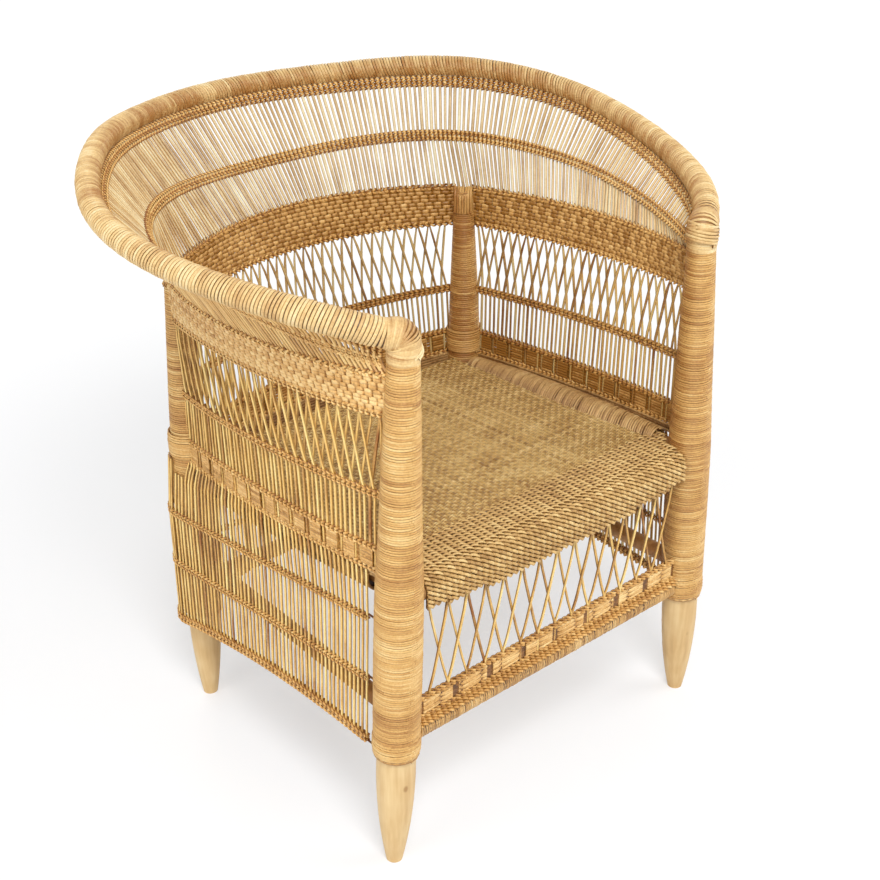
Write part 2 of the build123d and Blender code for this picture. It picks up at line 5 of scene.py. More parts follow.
import bpy
import numpy as np
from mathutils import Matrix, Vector


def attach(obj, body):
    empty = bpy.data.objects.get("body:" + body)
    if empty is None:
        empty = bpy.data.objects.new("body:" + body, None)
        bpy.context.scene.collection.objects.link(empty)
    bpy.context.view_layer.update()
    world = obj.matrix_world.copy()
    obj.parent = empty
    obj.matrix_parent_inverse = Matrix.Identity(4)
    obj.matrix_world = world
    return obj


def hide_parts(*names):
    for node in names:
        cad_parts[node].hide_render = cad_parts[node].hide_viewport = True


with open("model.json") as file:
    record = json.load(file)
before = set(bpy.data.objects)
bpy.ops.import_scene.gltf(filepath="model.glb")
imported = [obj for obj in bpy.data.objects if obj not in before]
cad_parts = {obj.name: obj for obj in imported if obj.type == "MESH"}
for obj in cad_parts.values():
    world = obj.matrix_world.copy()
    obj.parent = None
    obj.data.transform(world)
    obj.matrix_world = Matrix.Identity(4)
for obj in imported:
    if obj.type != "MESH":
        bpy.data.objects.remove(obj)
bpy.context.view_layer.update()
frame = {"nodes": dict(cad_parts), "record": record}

# A round-backed armchair of cane woven on a frame of peeled poles. Sizes are in millimetres with
# the front posts at y = 0, as the chair is measured, and become metres when a piece is made.
CENTRE_Y = 329.4  # from the front posts to the origin of the frame

# ---------------------------------------------------------------- the chair's own lines

SIDES = {"left": -1, "right": 1}
# how many points the guides of each kind are drawn through
STATIONS = {"post": 30, "hoop": 90, "elbow": 24, "row": 12, "band": 16, "flare": 26, "weft": 9,
            "warp": 5, "front_roll": 15, "side_roll": 16, "rail": 10}
LINE_STATIONS = 3000  # of a smooth line
LINE_BESIDE, WALL_BESIDE = 0.004, 0.01  # shares of a line and of a wall that directions are taken by
# posts: half the distance between their axes at the floor, and their lean for each millimetre up
FRONT_HALF, FRONT_LEAN = 261, 0.0365
REAR_HALF, REAR_LEAN = 244, 0.006
REAR_Y, REAR_RAKE = 428, 0.009
# heights and radii of the posts' windings; foot, head and radius of the lashings
FRONT_SLEEVE = [(165, 27.6), (310, 27.8), (395, 27), (470, 23.8), (600, 19.8), (688, 16.8)]
REAR_SLEEVE = [(141, 25.4), (330, 25.2), (470, 20), (629, 12.6)]
# windings lie over their sleeves, but start under the edge and rise within a few millimetres
SLEEVE_OVER, SLEEVE_EDGE, SLEEVE_RISE = 0.2, 0.6, 3
REAR_LASHING = (385, 421, 26.4)
APRON_LASHING = (167, 196, 29.2)
# a lashing is a low barrel: stations in from its ends with how much thinner it is there and in
# its middle
BARREL_ENDS, BARREL_MIDDLE = ((1, 2), (4, 0.9)), 0.5
# canes over the top of a rear post: heights, and how far across the post they are by then; how
# many lie on each side of the middle one; the way they run
TIE_PATH = [(600, -1.06), (622, -0.96), (631, -0.6), (634, 0), (631, 0.6), (622, 0.96)]
TIE_RADIUS, TIE_PITCH, TIE_SIDE = 15.2, 3.6, 3
TIE_AWAY, TIE_ALONG = 0.75, 0.66
# the hoop and the middle row of the flare, from the left arm to the middle of the back
HOOP_HALF = [(-247, 7, 703.5), (-284, 40, 716), (-323, 101, 727), (-368, 223, 742),
             (-374, 358, 762), (-299, 498, 781), (-162, 626, 771), (0, 675, 766)]
MID_ROW_HALF = [(-245, 14, 667), (-290, 130, 680), (-309, 245, 690), (-299, 360, 696),
                (-256, 458, 699), (-180, 534, 694), (-92, 576, 686), (0, 590, 682)]
HOOP_RADII, HOOP_THICK_END = (15, 13), 0.2  # at its ends and elsewhere, and how far the ends go
HOOP_WOUND, HOOP_OVER = (0.0015, 0.9985), 0.3
RIM_GAP = 10  # from the hoop to the middle of the row under it
# where a post's winding turns over into the hoop, and how thick it is on its way
ELBOW_FOOT, KNUCKLE = (673, 686), ((238, 2.5, 701), (244, 6, 703.6))
ELBOW_ENDS = {"left": 0.0025, "right": 0.9975}
ELBOW_PLACES, ELBOW_RADII = (0, 0.3, 0.55, 0.8, 1), (17.3, 17.6, 18.4, 17.9, 16.2)
# lean, radius and height of the lashings under the elbows, and their rounded profile
ARM_LASHINGS = {"left": (0.5, 16.6, 689), "right": (0.25, 18.9, 693)}
ARM_TILT = (0.14, 0.86)
ARM_LASHING_HALF, ARM_LASHING_SWELL = 12, (-0.8, 0.1, 0.4, 0.5, 0.5, 0.4, 0.1, -0.8)
# levels of the walls: heights at the front and rear posts, how far outside the posts' line at the
# front, at the rear and behind the rear posts, and the bulge of the side and back panels
Level = namedtuple("Level", "front_z rear_z front_out rear_out back_out side_bulge back_bulge")
LEVELS = {
    "hem": Level(160, 138, 9, 32, 32, 0, 0),
    "lower_row": Level(255, 228, 9, 32, 32, 0, 0),
    "upper_row": Level(341, 306, 9, 32, 32, 0, 0),
    "skirt_top": Level(400, 366, 9, 26, 26, 6, 8),
    "window_low": Level(412, 381, 9, 8, 12, 11, 22),
    "window_high": Level(440, 413, 9, 7.4, 11.4, 13, 30),
    "thin_band": Level(511, 479, 9, 6, 10, 18, 47),
    "plait_low": Level(610, 579, 9, 6, 10, 27, 76),
    "plait_high": Level(656, 631, 9, 6, 10, 41, 97),
}
SKIRT = ("hem", "lower_row", "upper_row", "skirt_top")
HEM_ARCH, SKIRT_START = 17, 42  # rise of the hem's middle, and the skirt's start behind the posts
CORNER_TOP = (384, 27)  # height and reach of the skirt's canes that stand round a rear post
CORNER_CANES = np.arange(7, 90, 12.6)  # their turns, in degrees
CORNER_TURNS, TURN_BEAT = (15, 30, 45), 15  # stations of a row there, and degrees for each beat
STAKE_PITCH = 7.6
STAKE_TINTS = {1: 0.38, -1: 0.16}  # stakes that lean to one side are paler than the others
APRON_TINTS = {1: 0.25, -1: 0.1}
STAKE_TIPS = [0.6, 0.5]  # share of their thickness that is left at a stake's last two points
CANE_SPAN, STAKE_SPAN = 0.6, 0.55  # how far canes and stakes differ from each other in tone
HALF_ROW, SUNK = 4, 1  # half a row's thickness, and how deep its ends sink into a winding
NEARER = 4  # how much farther than a row the stakes go on towards the posts
REACH = 9  # how far a row runs on into the binding of a post
# how far a stake leans aside above the thin band and lies before or behind the wall, and where
LATTICE_LEAN, LATTICE_LAYER, LATTICE_SHARES = 19, 2.0, (0.15, 0.5, 0.85)
BAND_LAYER = 0.4  # how far a stake lies before or behind the wall in the thin band
LATTICE_MARGIN = 0.006  # the share at each end of the plait that stakes keep out of
PLAIT_ROWS, PLAIT_PITCH = 10, 5.0
PLAIT_BEAT = 0.72  # blocks of the plait for each stake
WINDOW_PITCH, PANEL_HALF, PANEL_POINTS = 28, 9, (-1, -0.5, 0, 0.5, 1)
# rows under the windows: how far down they go, how far apart, and how far inside the wall
LINING_DROP, LINING_PITCH, LINING_IN = {"left": 14, "back": 28, "right": 14}, 4, 3.2
# rows behind the windows, as shares of their height
BACKING_SHARES = (0.1, 0.23, 0.36, 0.5, 0.64, 0.77, 0.9)
FLARE_STAKES, DOUBLE_ROW = 240, 7.6  # canes of the whole flare; from pair to pair of a row
FLARE_SPANS = {"left": (0.005, 0.32), "back": (0.32, 0.68), "right": (0.68, 0.995)}
FLARE_RUNS = (438, 528)  # lengths of the plait's top along a side and the back
# seat, its front roll and the rails' windings
FRONT_RAIL_Z, SEAT_FRONT, SEAT_FALL = 381, 402, 24
WEFT, WARP, WEFT_DEEP, WARP_DEEP = 3.0, 6.6, 1.6, 2.0
ROLL_BACK, ROLL_RADIUS, ROLL_CROWN = 52, 17.2, 1.5
ROLL_TOP, ROLL_TURNS, ROLL_PITCH, ROLL_FOOT = 17.4, (14, 32, 50, 68, 86), 5.8, 345
ROLL_DROP, ROLL_BEAT, ROLL_LINING_IN = (358, 344), 9.4, 2.2
# rows on the roll's top, and how far in front of its back and behind the posts they end; how far
# under the rail's middle the rows that hang down begin; and what their lower edge keeps clear of
ROLL_TOP_ROWS, ROLL_TOP_ENDS, ROLL_HANGS, ROLL_TRIM, APRON_TRIM = 9, (2, 1), 5, 3, 4
ROLL_WIDER = (17, 21)  # behind this y the seat widens behind the posts, up to this much
SIDE_RAIL_Z, SIDE_RAIL_IN, SIDE_RAIL_Y = (388, 358), (11.5, 6), (16, 13.5)
# the side rolls: radius at the ends, gaps to the posts' axes, and how far their middle lies further
# in and up, and is thicker
SIDE_ROLL, SIDE_ROLL_GAPS, SIDE_ROLL_BELLY = 20, (28, 13), (4, 1.5, 7)
# height, gap to the posts' axes and radius of the straight rails' windings
SEAT_BACK_RAIL, APRON_RAIL = (356, 25, 15.6), (185, 28, 13.8)
# apron: rows, stakes and windows
APRON_PAIRS, APRON_BAND, APRON_Y, APRON_BEAT = 14, (199, 233), -7, 8.2
APRON_LAYER, APRON_SHARES = 1.9, ((0.2, 1), (0.5, 1), (0.8, 1), (1, 0))
APRON_ROWS, APRON_PANEL_UP = (231.4, 228, 205.5, 202), 0.8
APRON_RAIL_Z, APRON_ARC, APRON_TURNS = 185, 15.8, (30, 42, 54)
APRON_WINDOWS, APRON_PANEL, PANEL_BEAT, APRON_REACH = 8, 46, 32.8, 4


def vec(*values):
    return np.array(values, float)


UP, FRONT = vec(0, 0, 1), vec(0, -1, 0)


def unit(v):
    return v / np.linalg.norm(v)


def distances(points):
    """How far along its line each point lies."""
    return np.concatenate([[0], np.cumsum(np.linalg.norm(np.diff(points, axis=0), axis=1))])


class Bend:
    """A smooth line through points, read by its share of the whole length."""

    def __init__(self, points):
        p = np.array(points, float)
        n = len(p)
        t = distances(p)
        h = np.diff(t)
        rows, sums = np.zeros((n, n)), np.zeros((n, 3))
        rows[0, :2] = rows[-1, -2:] = 1, -1
        for i in range(1, n - 1):
            rows[i, i - 1:i + 2] = h[i - 1], 2 * (h[i - 1] + h[i]), h[i]
            sums[i] = 6 * ((p[i + 1] - p[i]) / h[i] - (p[i] - p[i - 1]) / h[i - 1])
        bow = np.linalg.solve(rows, sums)
        at = np.linspace(0, t[-1], LINE_STATIONS)
        k = np.clip(np.searchsorted(t, at) - 1, 0, n - 2)
        a, b, span = (t[k + 1] - at)[:, None], (at - t[k])[:, None], h[k][:, None]
        self.line = ((bow[k] * a ** 3 + bow[k + 1] * b ** 3) / (6 * span)
                     + (p[k] / span - bow[k] * span / 6) * a
                     + (p[k + 1] / span - bow[k + 1] * span / 6) * b)
        run = distances(self.line)
        self.share = run / run[-1]

    def at(self, u):
        return vec(*[np.interp(u, self.share, self.line[:, i]) for i in range(3)])

    def along(self, u):
        return unit(self.at(min(u + LINE_BESIDE, 1)) - self.at(max(u - LINE_BESIDE, 0)))


def mirrored(half):
    return Bend(half + [(-x, y, z) for x, y, z in reversed(half[:-1])])


HOOP, MID_ROW = mirrored(HOOP_HALF), mirrored(MID_ROW_HALF)


def front_axis(z, side):
    return vec(side * (FRONT_HALF - FRONT_LEAN * z), 0, z)


def rear_axis(z, side):
    return vec(side * (REAR_HALF - REAR_LEAN * z), REAR_Y + REAR_RAKE * z, z)


def outward(wall):
    return vec(0, 1, 0) if wall == "back" else vec(SIDES[wall], 0, 0)


def wall_length(wall):
    return 2 * REAR_HALF if wall == "back" else REAR_Y


def wall_point(wall, level, t):
    """A point of the wall; t runs from the front post to the rear one, or across the back."""
    at = LEVELS[level]
    belly = 4 * t * (1 - t)
    arch = HEM_ARCH * belly if level == "hem" else 0
    if wall == "back":
        corner = rear_axis(at.rear_z, 1)
        half = corner[0] + (0 if level in SKIRT else at.rear_out)
        return vec(half * (2 * t - 1), corner[1] + at.back_out + at.back_bulge * belly,
                   at.rear_z + arch)
    side = SIDES[wall]
    back_out = 0 if level in SKIRT else at.back_out
    start = front_axis(at.front_z, side) + vec(side * at.front_out, 0, 0)
    end = rear_axis(at.rear_z, side) + vec(side * at.rear_out, back_out, 0)
    return start + (end - start) * t + vec(side * at.side_bulge * belly, 0, arch)


def sleeve_radius(end, z):
    return float(np.interp(z, *zip(*(FRONT_SLEEVE if end == "front" else REAR_SLEEVE))))


def clearance(end, z, out):
    """How far from a post's axis a row ends that passes it at a distance."""
    return sqrt(max(sleeve_radius(end, z) ** 2 - max(out - HALF_ROW, 0) ** 2, 0)) - SUNK


def wall_span(wall, level):
    """Where a row starts and stops, as shares of the wall."""
    at = LEVELS[level]
    corner = rear_axis(at.rear_z, 1)
    if wall == "back":
        if level in SKIRT:
            return 0, 1
        stop = (at.rear_out + clearance("rear", at.rear_z, at.back_out)) / (
            2 * (corner[0] + at.rear_out))
        return stop, 1 - stop
    if level in SKIRT:
        return SKIRT_START / REAR_Y, 1
    length = corner[1] + at.back_out
    stop = at.back_out + clearance("rear", at.rear_z, at.rear_out)
    return clearance("front", at.front_z, at.front_out) / length, 1 - stop / length


def wall_frame(wall, level, t, above):
    """A point of the wall, the way up to the level above, and the way out."""
    point = wall_point(wall, level, t)
    up = unit(wall_point(wall, above, t) - point)
    before, after = [wall_point(wall, level, t + by) for by in (-WALL_BESIDE, WALL_BESIDE)]
    out = unit(np.cross(after - before, up))
    return point, up, out if out @ outward(wall) > 0 else -out


def middle_frame(wall, low, high, t):
    """The same, halfway between two levels."""
    point, up, out = wall_frame(wall, low, t, high)
    return (point + wall_point(wall, high, t)) / 2, up, out


def corner_frame(side, level, turn):
    """The same, round a rear post."""
    away = vec(side * cos(radians(turn)), sin(radians(turn)), 0)
    return rear_axis(LEVELS[level].rear_z, side) + away * LEVELS[level].rear_out, UP, away


def stake_span(wall):
    """Where the first and the last stake stand, and how many there are."""
    reach = NEARER / wall_length(wall)
    first, last = wall_span(wall, "thin_band")
    first, last = first - reach, last + reach
    return first, last, round((last - first) * wall_length(wall) / STAKE_PITCH)


def beat_at(wall, t):
    """The beat of the weavers, which grows by one from stake to stake."""
    first, last, count = stake_span(wall)
    return (t - first) / (last - first) * count


def plait_top(u):
    side_length, back_length = FLARE_RUNS
    total = 2 * side_length + back_length
    run = u * total
    if run < side_length:
        return wall_point("left", "plait_high", run / side_length)
    if run < side_length + back_length:
        return wall_point("back", "plait_high", (run - side_length) / back_length)
    return wall_point("right", "plait_high", (total - run) / side_length)


def hoop_radius(u):
    ends, rest = HOOP_RADII
    return rest + (ends - rest) * max(0, 1 - min(u, 1 - u) / HOOP_THICK_END)


def flare_tip(u):
    middle, high = MID_ROW.at(u), HOOP.at(u)
    return high - unit(high - middle) * hoop_radius(u)


def flare_frame(u, row):
    low, middle, tip = plait_top(u), MID_ROW.at(u), flare_tip(u)
    if row == "mid_row":
        up = unit(unit(middle - low) + unit(tip - middle))
        point, along = middle, MID_ROW.along(u)
    else:
        up = unit(tip - middle)
        point, along = tip - up * RIM_GAP, HOOP.along(u)
    return point, up, unit(np.cross(along, up))


# ---------------------------------------------------------------- node trees

def operator(operation, swapped=False):
    """A method for an operator's node, swapped where the socket stands on its right."""
    def method(self, other):
        return self._do(operation, *((other, self) if swapped else (self, other)))
    return method


class Value:
    """A socket in an expression: numbers add Math nodes, vectors add Vector Math nodes."""

    __add__, __radd__ = operator("ADD"), operator("ADD", swapped=True)
    __sub__, __rsub__ = operator("SUBTRACT"), operator("SUBTRACT", swapped=True)
    __mul__, __truediv__ = operator("MULTIPLY"), operator("DIVIDE")
    __mod__ = operator("FLOORED_MODULO")

    def __init__(self, tree, socket):
        self.tree, self.socket = tree, socket

    @property
    def is_vector(self):
        return self.socket.type in ("VECTOR", "RGBA")

    def _do(self, operation, *terms):
        vectors = [v for v in terms if getattr(v, "is_vector", isinstance(v, tuple))]
        if not vectors:
            return self.tree.add("ShaderNodeMath", {"operation": operation},
                                 dict(enumerate(terms)))
        if operation == "MULTIPLY" and len(vectors) == 1:
            number = terms[1] if vectors[0] is terms[0] else terms[0]
            return self.tree.add("ShaderNodeVectorMath", {"operation": "SCALE"},
                                 {0: vectors[0], "Scale": number})
        out = "Value" if operation in ("DOT_PRODUCT", "LENGTH") else 0
        return self.tree.add("ShaderNodeVectorMath", {"operation": operation},
                             dict(enumerate(terms)), out)

    def call(self, operation, *others):
        return self._do(operation, self, *others)


class Tree:
    """A node tree, made of nodes that are added with their settings and sockets."""

    def __init__(self, tree):
        self.tree = tree

    def link(self, socket, value):
        if isinstance(value, Value):
            self.tree.links.new(value.socket, socket)
        else:
            socket.default_value = value

    def node(self, kind, settings=None, sockets=None):
        node = self.tree.nodes.new(kind)
        for name, value in (settings or {}).items():
            setattr(node, name, value)
        for name, value in (sockets or {}).items():
            self.link(node.inputs[name], value)
        return node

    def add(self, kind, settings=None, sockets=None, out=0):
        return Value(self, self.node(kind, settings, sockets).outputs[out])

    def vector(self, x, y=0.0, z=0.0):
        return self.add("ShaderNodeCombineXYZ", None, {0: x, 1: y, 2: z})

    def noise(self, place, scale, detail, out=0):
        return self.add("ShaderNodeTexNoise", None,
                        {"Vector": place, "Scale": scale, "Detail": detail}, out)

    def eased(self, value, first, last, low, high):
        """Goes gently from low to high while the value goes from first to last."""
        return self.add("ShaderNodeMapRange", {"interpolation_type": "SMOOTHSTEP"},
                        {"Value": value, "From Min": first, "From Max": last, "To Min": low,
                         "To Max": high})


class Weave(Tree):
    """A Geometry Nodes tree that turns wire guides into strands of cane."""

    def __init__(self, name, numbers, counts=()):
        super().__init__(bpy.data.node_groups.new(name, "GeometryNodeTree"))
        kinds = {"Geometry": "Geometry", **dict.fromkeys((*numbers, "Width", "Thickness"), "Float"),
                 **dict.fromkeys((*counts, "Sides", "Seed"), "Int"), "Material": "Material"}
        face = self.tree.interface
        for label, kind in kinds.items():
            face.new_socket(label, in_out="INPUT", socket_type=f"NodeSocket{kind}")
        face.new_socket("Geometry", in_out="OUTPUT", socket_type="NodeSocketGeometry")
        self.start = self.tree.nodes.new("NodeGroupInput")
        self.end = self.tree.nodes.new("NodeGroupOutput")

    def given(self, label):
        return Value(self, self.start.outputs[label])

    def read(self, name, kind="FLOAT"):
        return self.add("GeometryNodeInputNamedAttribute", {"data_type": kind}, {"Name": name})

    def way(self, name):
        return self.read(name, "FLOAT_VECTOR")

    def keep(self, geometry, name, value, kind="FLOAT"):
        return self.add("GeometryNodeStoreNamedAttribute", {"data_type": kind, "domain": "POINT"},
                        {"Geometry": geometry, "Name": name, "Value": value})

    def chance(self, identity, seed, low=0.0, high=1.0):
        return self.add("FunctionNodeRandomValue", {"data_type": "FLOAT"},
                        {2: low, 3: high, "ID": identity, "Seed": seed}, out=1)

    def drift(self, place, detail=1.0):
        """Smooth noise about zero, as a vector."""
        return (self.noise(place, 1.0, detail, "Color") - (0.5, 0.5, 0.5)) * 2.0

    def parts(self, vector):
        split = self.node("ShaderNodeSeparateXYZ", None, {0: vector})
        return [Value(self, socket) for socket in split.outputs]

    def guides(self):
        return self.add("GeometryNodeMeshToCurve", None, {"Mesh": self.given("Geometry")})

    def stepped(self, curve):
        return self.add("GeometryNodeResampleCurve", {"mode": "LENGTH"},
                        {"Curve": curve, "Length": self.given("Step")})

    def face_out(self, curve):
        return self.add("GeometryNodeSetCurveNormal", {"mode": "FREE"},
                        {"Curve": curve, "Normal": self.way("out")})

    def sweep(self, curve, scale):
        """Sweeps an oval profile, smooths it, makes it real and sets its material."""
        ring = self.add("GeometryNodeCurvePrimitiveCircle", None,
                        {"Resolution": self.given("Sides"), "Radius": 0.5})
        size = self.vector(self.given("Thickness"), self.given("Width"), 1.0)
        oval = self.add("GeometryNodeTransform", None, {"Geometry": ring, "Scale": size})
        mesh = self.add("GeometryNodeCurveToMesh", None,
                        {"Curve": curve, "Profile Curve": oval, "Scale": scale,
                         "Fill Caps": True})
        mesh = self.add("GeometryNodeSetShadeSmooth", None, {"Geometry": mesh})
        mesh = self.add("GeometryNodeRealizeInstances", None, {"Geometry": mesh})
        mesh = self.add("GeometryNodeSetMaterial", None,
                        {"Geometry": mesh, "Material": self.given("Material")})
        self.link(self.end.inputs[0], mesh)


# added to a piece's seed, so that each chance has one of its own
CANE_SEED, JUMP_SEED, TURN_SEED, SWELL_SEED = 11.0, 3.0, 7.0, 5.0


def strand_tree():
    """Single canes that follow their guides and wander a little from them."""
    t = Weave("cane_strands", ("Step", "Wander"))
    waves, apart, seed_apart, swell = 9.0, 3.7, 5.3, (0.86, 1.12)
    curve = t.stepped(t.guides())
    number, seed = t.add("GeometryNodeCurveOfPoint"), t.given("Seed")
    run = t.add("GeometryNodeSplineParameter", out="Length")
    place = t.vector(run * waves, number * apart, seed * seed_apart)
    curve = t.keep(curve, "tone", t.chance(number, seed) * t.read("span") + t.read("tint"))
    curve = t.keep(curve, "run", run)
    curve = t.add("GeometryNodeSetPosition", None,
                  {"Geometry": curve, "Offset": t.drift(place) * t.given("Wander")})
    t.sweep(t.face_out(curve), t.chance(number, seed + CANE_SEED, *swell) * t.read("swell"))
    return t.tree


def wound_tree():
    """Cane wound round a pole, turn beside turn."""
    t = Weave("wound_cane", ("Pitch", "Turn Steps", "Wander", "Lift", "Group", "Slope", "Slant",
                             "Contrast"))
    waves, seed_apart, eased_turns, jumps, swell = 0.31, 17.3, 3.0, 0.35, (0.92, 1.1)
    group_tone, turn_tone, run_of_turn = 0.4, 0.6, 0.1
    pole, pitch, seed = t.face_out(t.guides()), t.given("Pitch"), t.given("Seed")
    turns = t.add("GeometryNodeCurveLength", None, {"Curve": pole}) / pitch
    line = t.add("GeometryNodeCurvePrimitiveLine", None, {"End": (0, 0, 1)})
    line = t.add("GeometryNodeResampleCurve", {"mode": "COUNT"},
                 {"Curve": line, "Count": turns * t.given("Turn Steps")})
    line = t.keep(line, "turn", t.add("GeometryNodeSplineParameter") * turns)
    turn = t.read("turn")
    whole = turn.call("FLOOR")
    ends = (turn.call("MINIMUM", turns - turn) / eased_turns).call("MINIMUM", 1.0)
    angle = turn * (2 * pi)
    waver, lift, slope = t.parts(t.drift(t.vector(turn * waves, seed * seed_apart), 2.0))
    lean = angle.call("SINE") * (t.given("Slope") * slope + t.given("Slant"))
    place = turn * pitch + (waver * t.given("Wander") + lean) * ends
    sample = t.node("GeometryNodeSampleCurve", {"mode": "LENGTH"},
                    {"Curves": pole, "Value": t.read("swell"), "Length": place})
    radius, centre, tangent, normal = [Value(t, s) for s in sample.outputs]
    away = (normal * angle.call("COSINE")
            + tangent.call("CROSS_PRODUCT", normal) * angle.call("SINE"))
    jump = t.chance(whole, seed + JUMP_SEED, -1.0, 1.0)
    rise = (lift + jump * jumps) * t.given("Lift") * ends
    band = (turn / t.given("Group") + waver).call("FLOOR")
    tone = t.chance(band, seed) * group_tone + t.chance(whole, seed + TURN_SEED) * turn_tone
    line = t.keep(line, "tone", (tone - 0.5) * t.given("Contrast") + 0.5)
    line = t.keep(line, "run", turn * run_of_turn)
    line = t.keep(line, "out", away, "FLOAT_VECTOR")
    line = t.keep(line, "spot", centre + away * (radius + rise), "FLOAT_VECTOR")
    line = t.add("GeometryNodeSetPosition", None, {"Geometry": line, "Position": t.way("spot")})
    t.sweep(t.face_out(line), t.chance(whole, seed + SWELL_SEED, *swell))
    return t.tree


def woven_tree():
    """Rows of weavers that pass in front of the stakes and behind them, singly or twined."""
    t = Weave("woven_rows", ("Step", "Row Pitch", "Block", "Depth", "Rise", "Square", "Stagger",
                             "Dip", "Wander"), ("Rows", "Strands"))
    waves, apart, seed_apart, crossing = 14.0, 2.9, 3.1, 0.7
    strand_tone, drift_tone, least_tone = 0.55, 0.3, 0.22
    curve = t.stepped(t.guides())
    for name, amount in (("row", "Rows"), ("strand", "Strands")):
        copies = t.node("GeometryNodeDuplicateElements", {"domain": "SPLINE"},
                        {"Geometry": curve, "Amount": t.given(amount)})
        curve = t.keep(Value(t, copies.outputs[0]), name, Value(t, copies.outputs[1]))
    row, strand, out, up = t.read("row"), t.read("strand"), t.way("out"), t.way("up")
    number, seed = t.add("GeometryNodeCurveOfPoint"), t.given("Seed")
    run = t.add("GeometryNodeSplineParameter", out="Length")
    block = (row / t.given("Block")).call("FLOOR")
    beat = (t.read("beat") - 0.5) * pi + strand * pi + block * t.given("Stagger")
    wave = beat.call("COSINE") * (t.given("Square") + 1.0)
    wave = wave.call("MINIMUM", 1.0).call("MAXIMUM", -1.0)
    hand = 1.0 - row % 2.0 * 2.0
    drift = t.drift(t.vector(run * waves, number * apart, seed * seed_apart))
    spread = (row - (t.given("Rows") - 1.0) * 0.5) * t.given("Row Pitch") * t.read("spread")
    # painted shade: weavers are darker where they cross and dip behind the stakes, and a little
    # lighter where they lie in front
    dip = (wave.call("ABSOLUTE") - crossing) * t.given("Dip")
    curve = t.keep(curve, "tone", t.chance(number, seed) * strand_tone
                   + t.parts(drift)[1] * drift_tone + least_tone + t.read("tint") + dip)
    curve = t.keep(curve, "run", run)
    move = (out * (wave * t.given("Depth"))
            + up * (spread + hand * beat.call("SINE") * t.given("Rise"))
            + drift * t.given("Wander"))
    curve = t.add("GeometryNodeSetPosition", None, {"Geometry": curve, "Offset": move})
    t.sweep(t.face_out(curve), t.read("swell"))
    return t.tree


# ---------------------------------------------------------------- finishes

PAINTED_INSIDE_SHADE = 0.28  # painted shade: how much darker cane is made on the side that faces the middle of the chair
# each cane finish: its dark, middle and light tone, and how it differs from the usual; edge, inside
# and inward set painted shade on a strand's edges and on the side that faces the middle of the chair
CANES = {
    "bound_cane": ((160, 106, 46), (214, 168, 98), (244, 218, 156), {"edge": 0.34}),
    "hoop_cane": ((170, 118, 58), (226, 192, 132), (250, 236, 192), {"edge": 0.3}),
    "round_cane": ((154, 96, 36), (231, 188, 107), (252, 228, 154),
                   {"rough": 0.38, "edge": 0.42, "inside": 0.06, "inward": (0.60, 0.66, 0.92)}),
    "flare_cane": ((172, 122, 62), (224, 180, 110), (248, 218, 150),
                   {"rough": 0.38, "edge": 0.6, "inside": 0.0, "inward": (0.82, 1.10, 1.9)}),
    "twined_cane": ((142, 88, 26), (213, 161, 85), (242, 206, 138), {"edge": 0.4}),
    "plaited_cane": ((148, 98, 30), (215, 166, 96), (242, 208, 144),
                     {"edge": 0.7, "inside": 0.42}),
    "seat_weave": ((146, 104, 46), (208, 170, 102), (238, 214, 156), {}),
    "front_weave": ((146, 102, 44), (210, 170, 104), (240, 212, 150), {"edge": 0.4}),
    "rail_cane": ((150, 102, 48), (206, 162, 98), (234, 204, 146), {"edge": 0.36}),
    "roll_cane": ((128, 86, 40), (200, 160, 102), (232, 204, 150), {"edge": 0.3}),
    "pale_underlay": ((150, 104, 54), (190, 146, 88), (212, 172, 112), {"edge": 1.0}),
    # painted shade: the dark underlay lies under windings and rows so the slits between strands read
    # as shade
    "underlay": ((84, 52, 22), (128, 84, 38), (160, 112, 56), {}),
}
POLES = {
    "peeled_pole": ((176, 134, 80), (212, 176, 120), (230, 202, 150)),
    "frame_pole": ((100, 60, 30), (158, 110, 60), (190, 146, 92)),
}
# where the three tones lie on a shade from 0 to 1; strength and depth of the bumps
CANE_TONES_AT, FIBRE_BUMP = (0.12, 0.5, 0.88), (0.22, 0.0004)
POLE_TONES_AT, GRAIN_BUMP = (0.15, 0.5, 0.75), (0.25, 0.001)
KNOT_RIM, KNOT_DARK = (0.035, 0.12), 0.35


def linear(tone):
    """An sRGB tone as the linear colour that the shaders use."""
    return tuple((v / 255 / 12.92) if v <= 10 else ((v / 255 + 0.055) / 1.055) ** 2.4
                 for v in tone)


class Finish(Tree):
    """A material with one surface shader."""

    def __init__(self, name):
        self.material = bpy.data.materials.new(name)
        self.material.use_nodes = True
        super().__init__(self.material.node_tree)
        self.shader = self.tree.nodes["Principled BSDF"]

    def set(self, label, value):
        self.link(self.shader.inputs[label], value)

    def bump(self, height, strength, distance):
        self.set("Normal", self.add("ShaderNodeBump", None, {
            "Strength": strength, "Distance": distance, "Height": height}))

    def toned(self, shade, places, tones):
        """The colour of a shade, by tones that lie at places from 0 to 1."""
        node = self.node("ShaderNodeValToRGB", None, {"Fac": shade})
        elements = node.color_ramp.elements
        elements.new(0.5)
        for element, place, tone in zip(elements, places, tones):
            element.position, element.color = place, (*linear(tone), 1)
        return Value(self, node.outputs[0])

    def attribute(self, name, out="Fac"):
        return self.add("ShaderNodeAttribute", {"attribute_name": name}, out=out)

    def spot(self):
        return self.add("ShaderNodeTexCoord", out="Object")


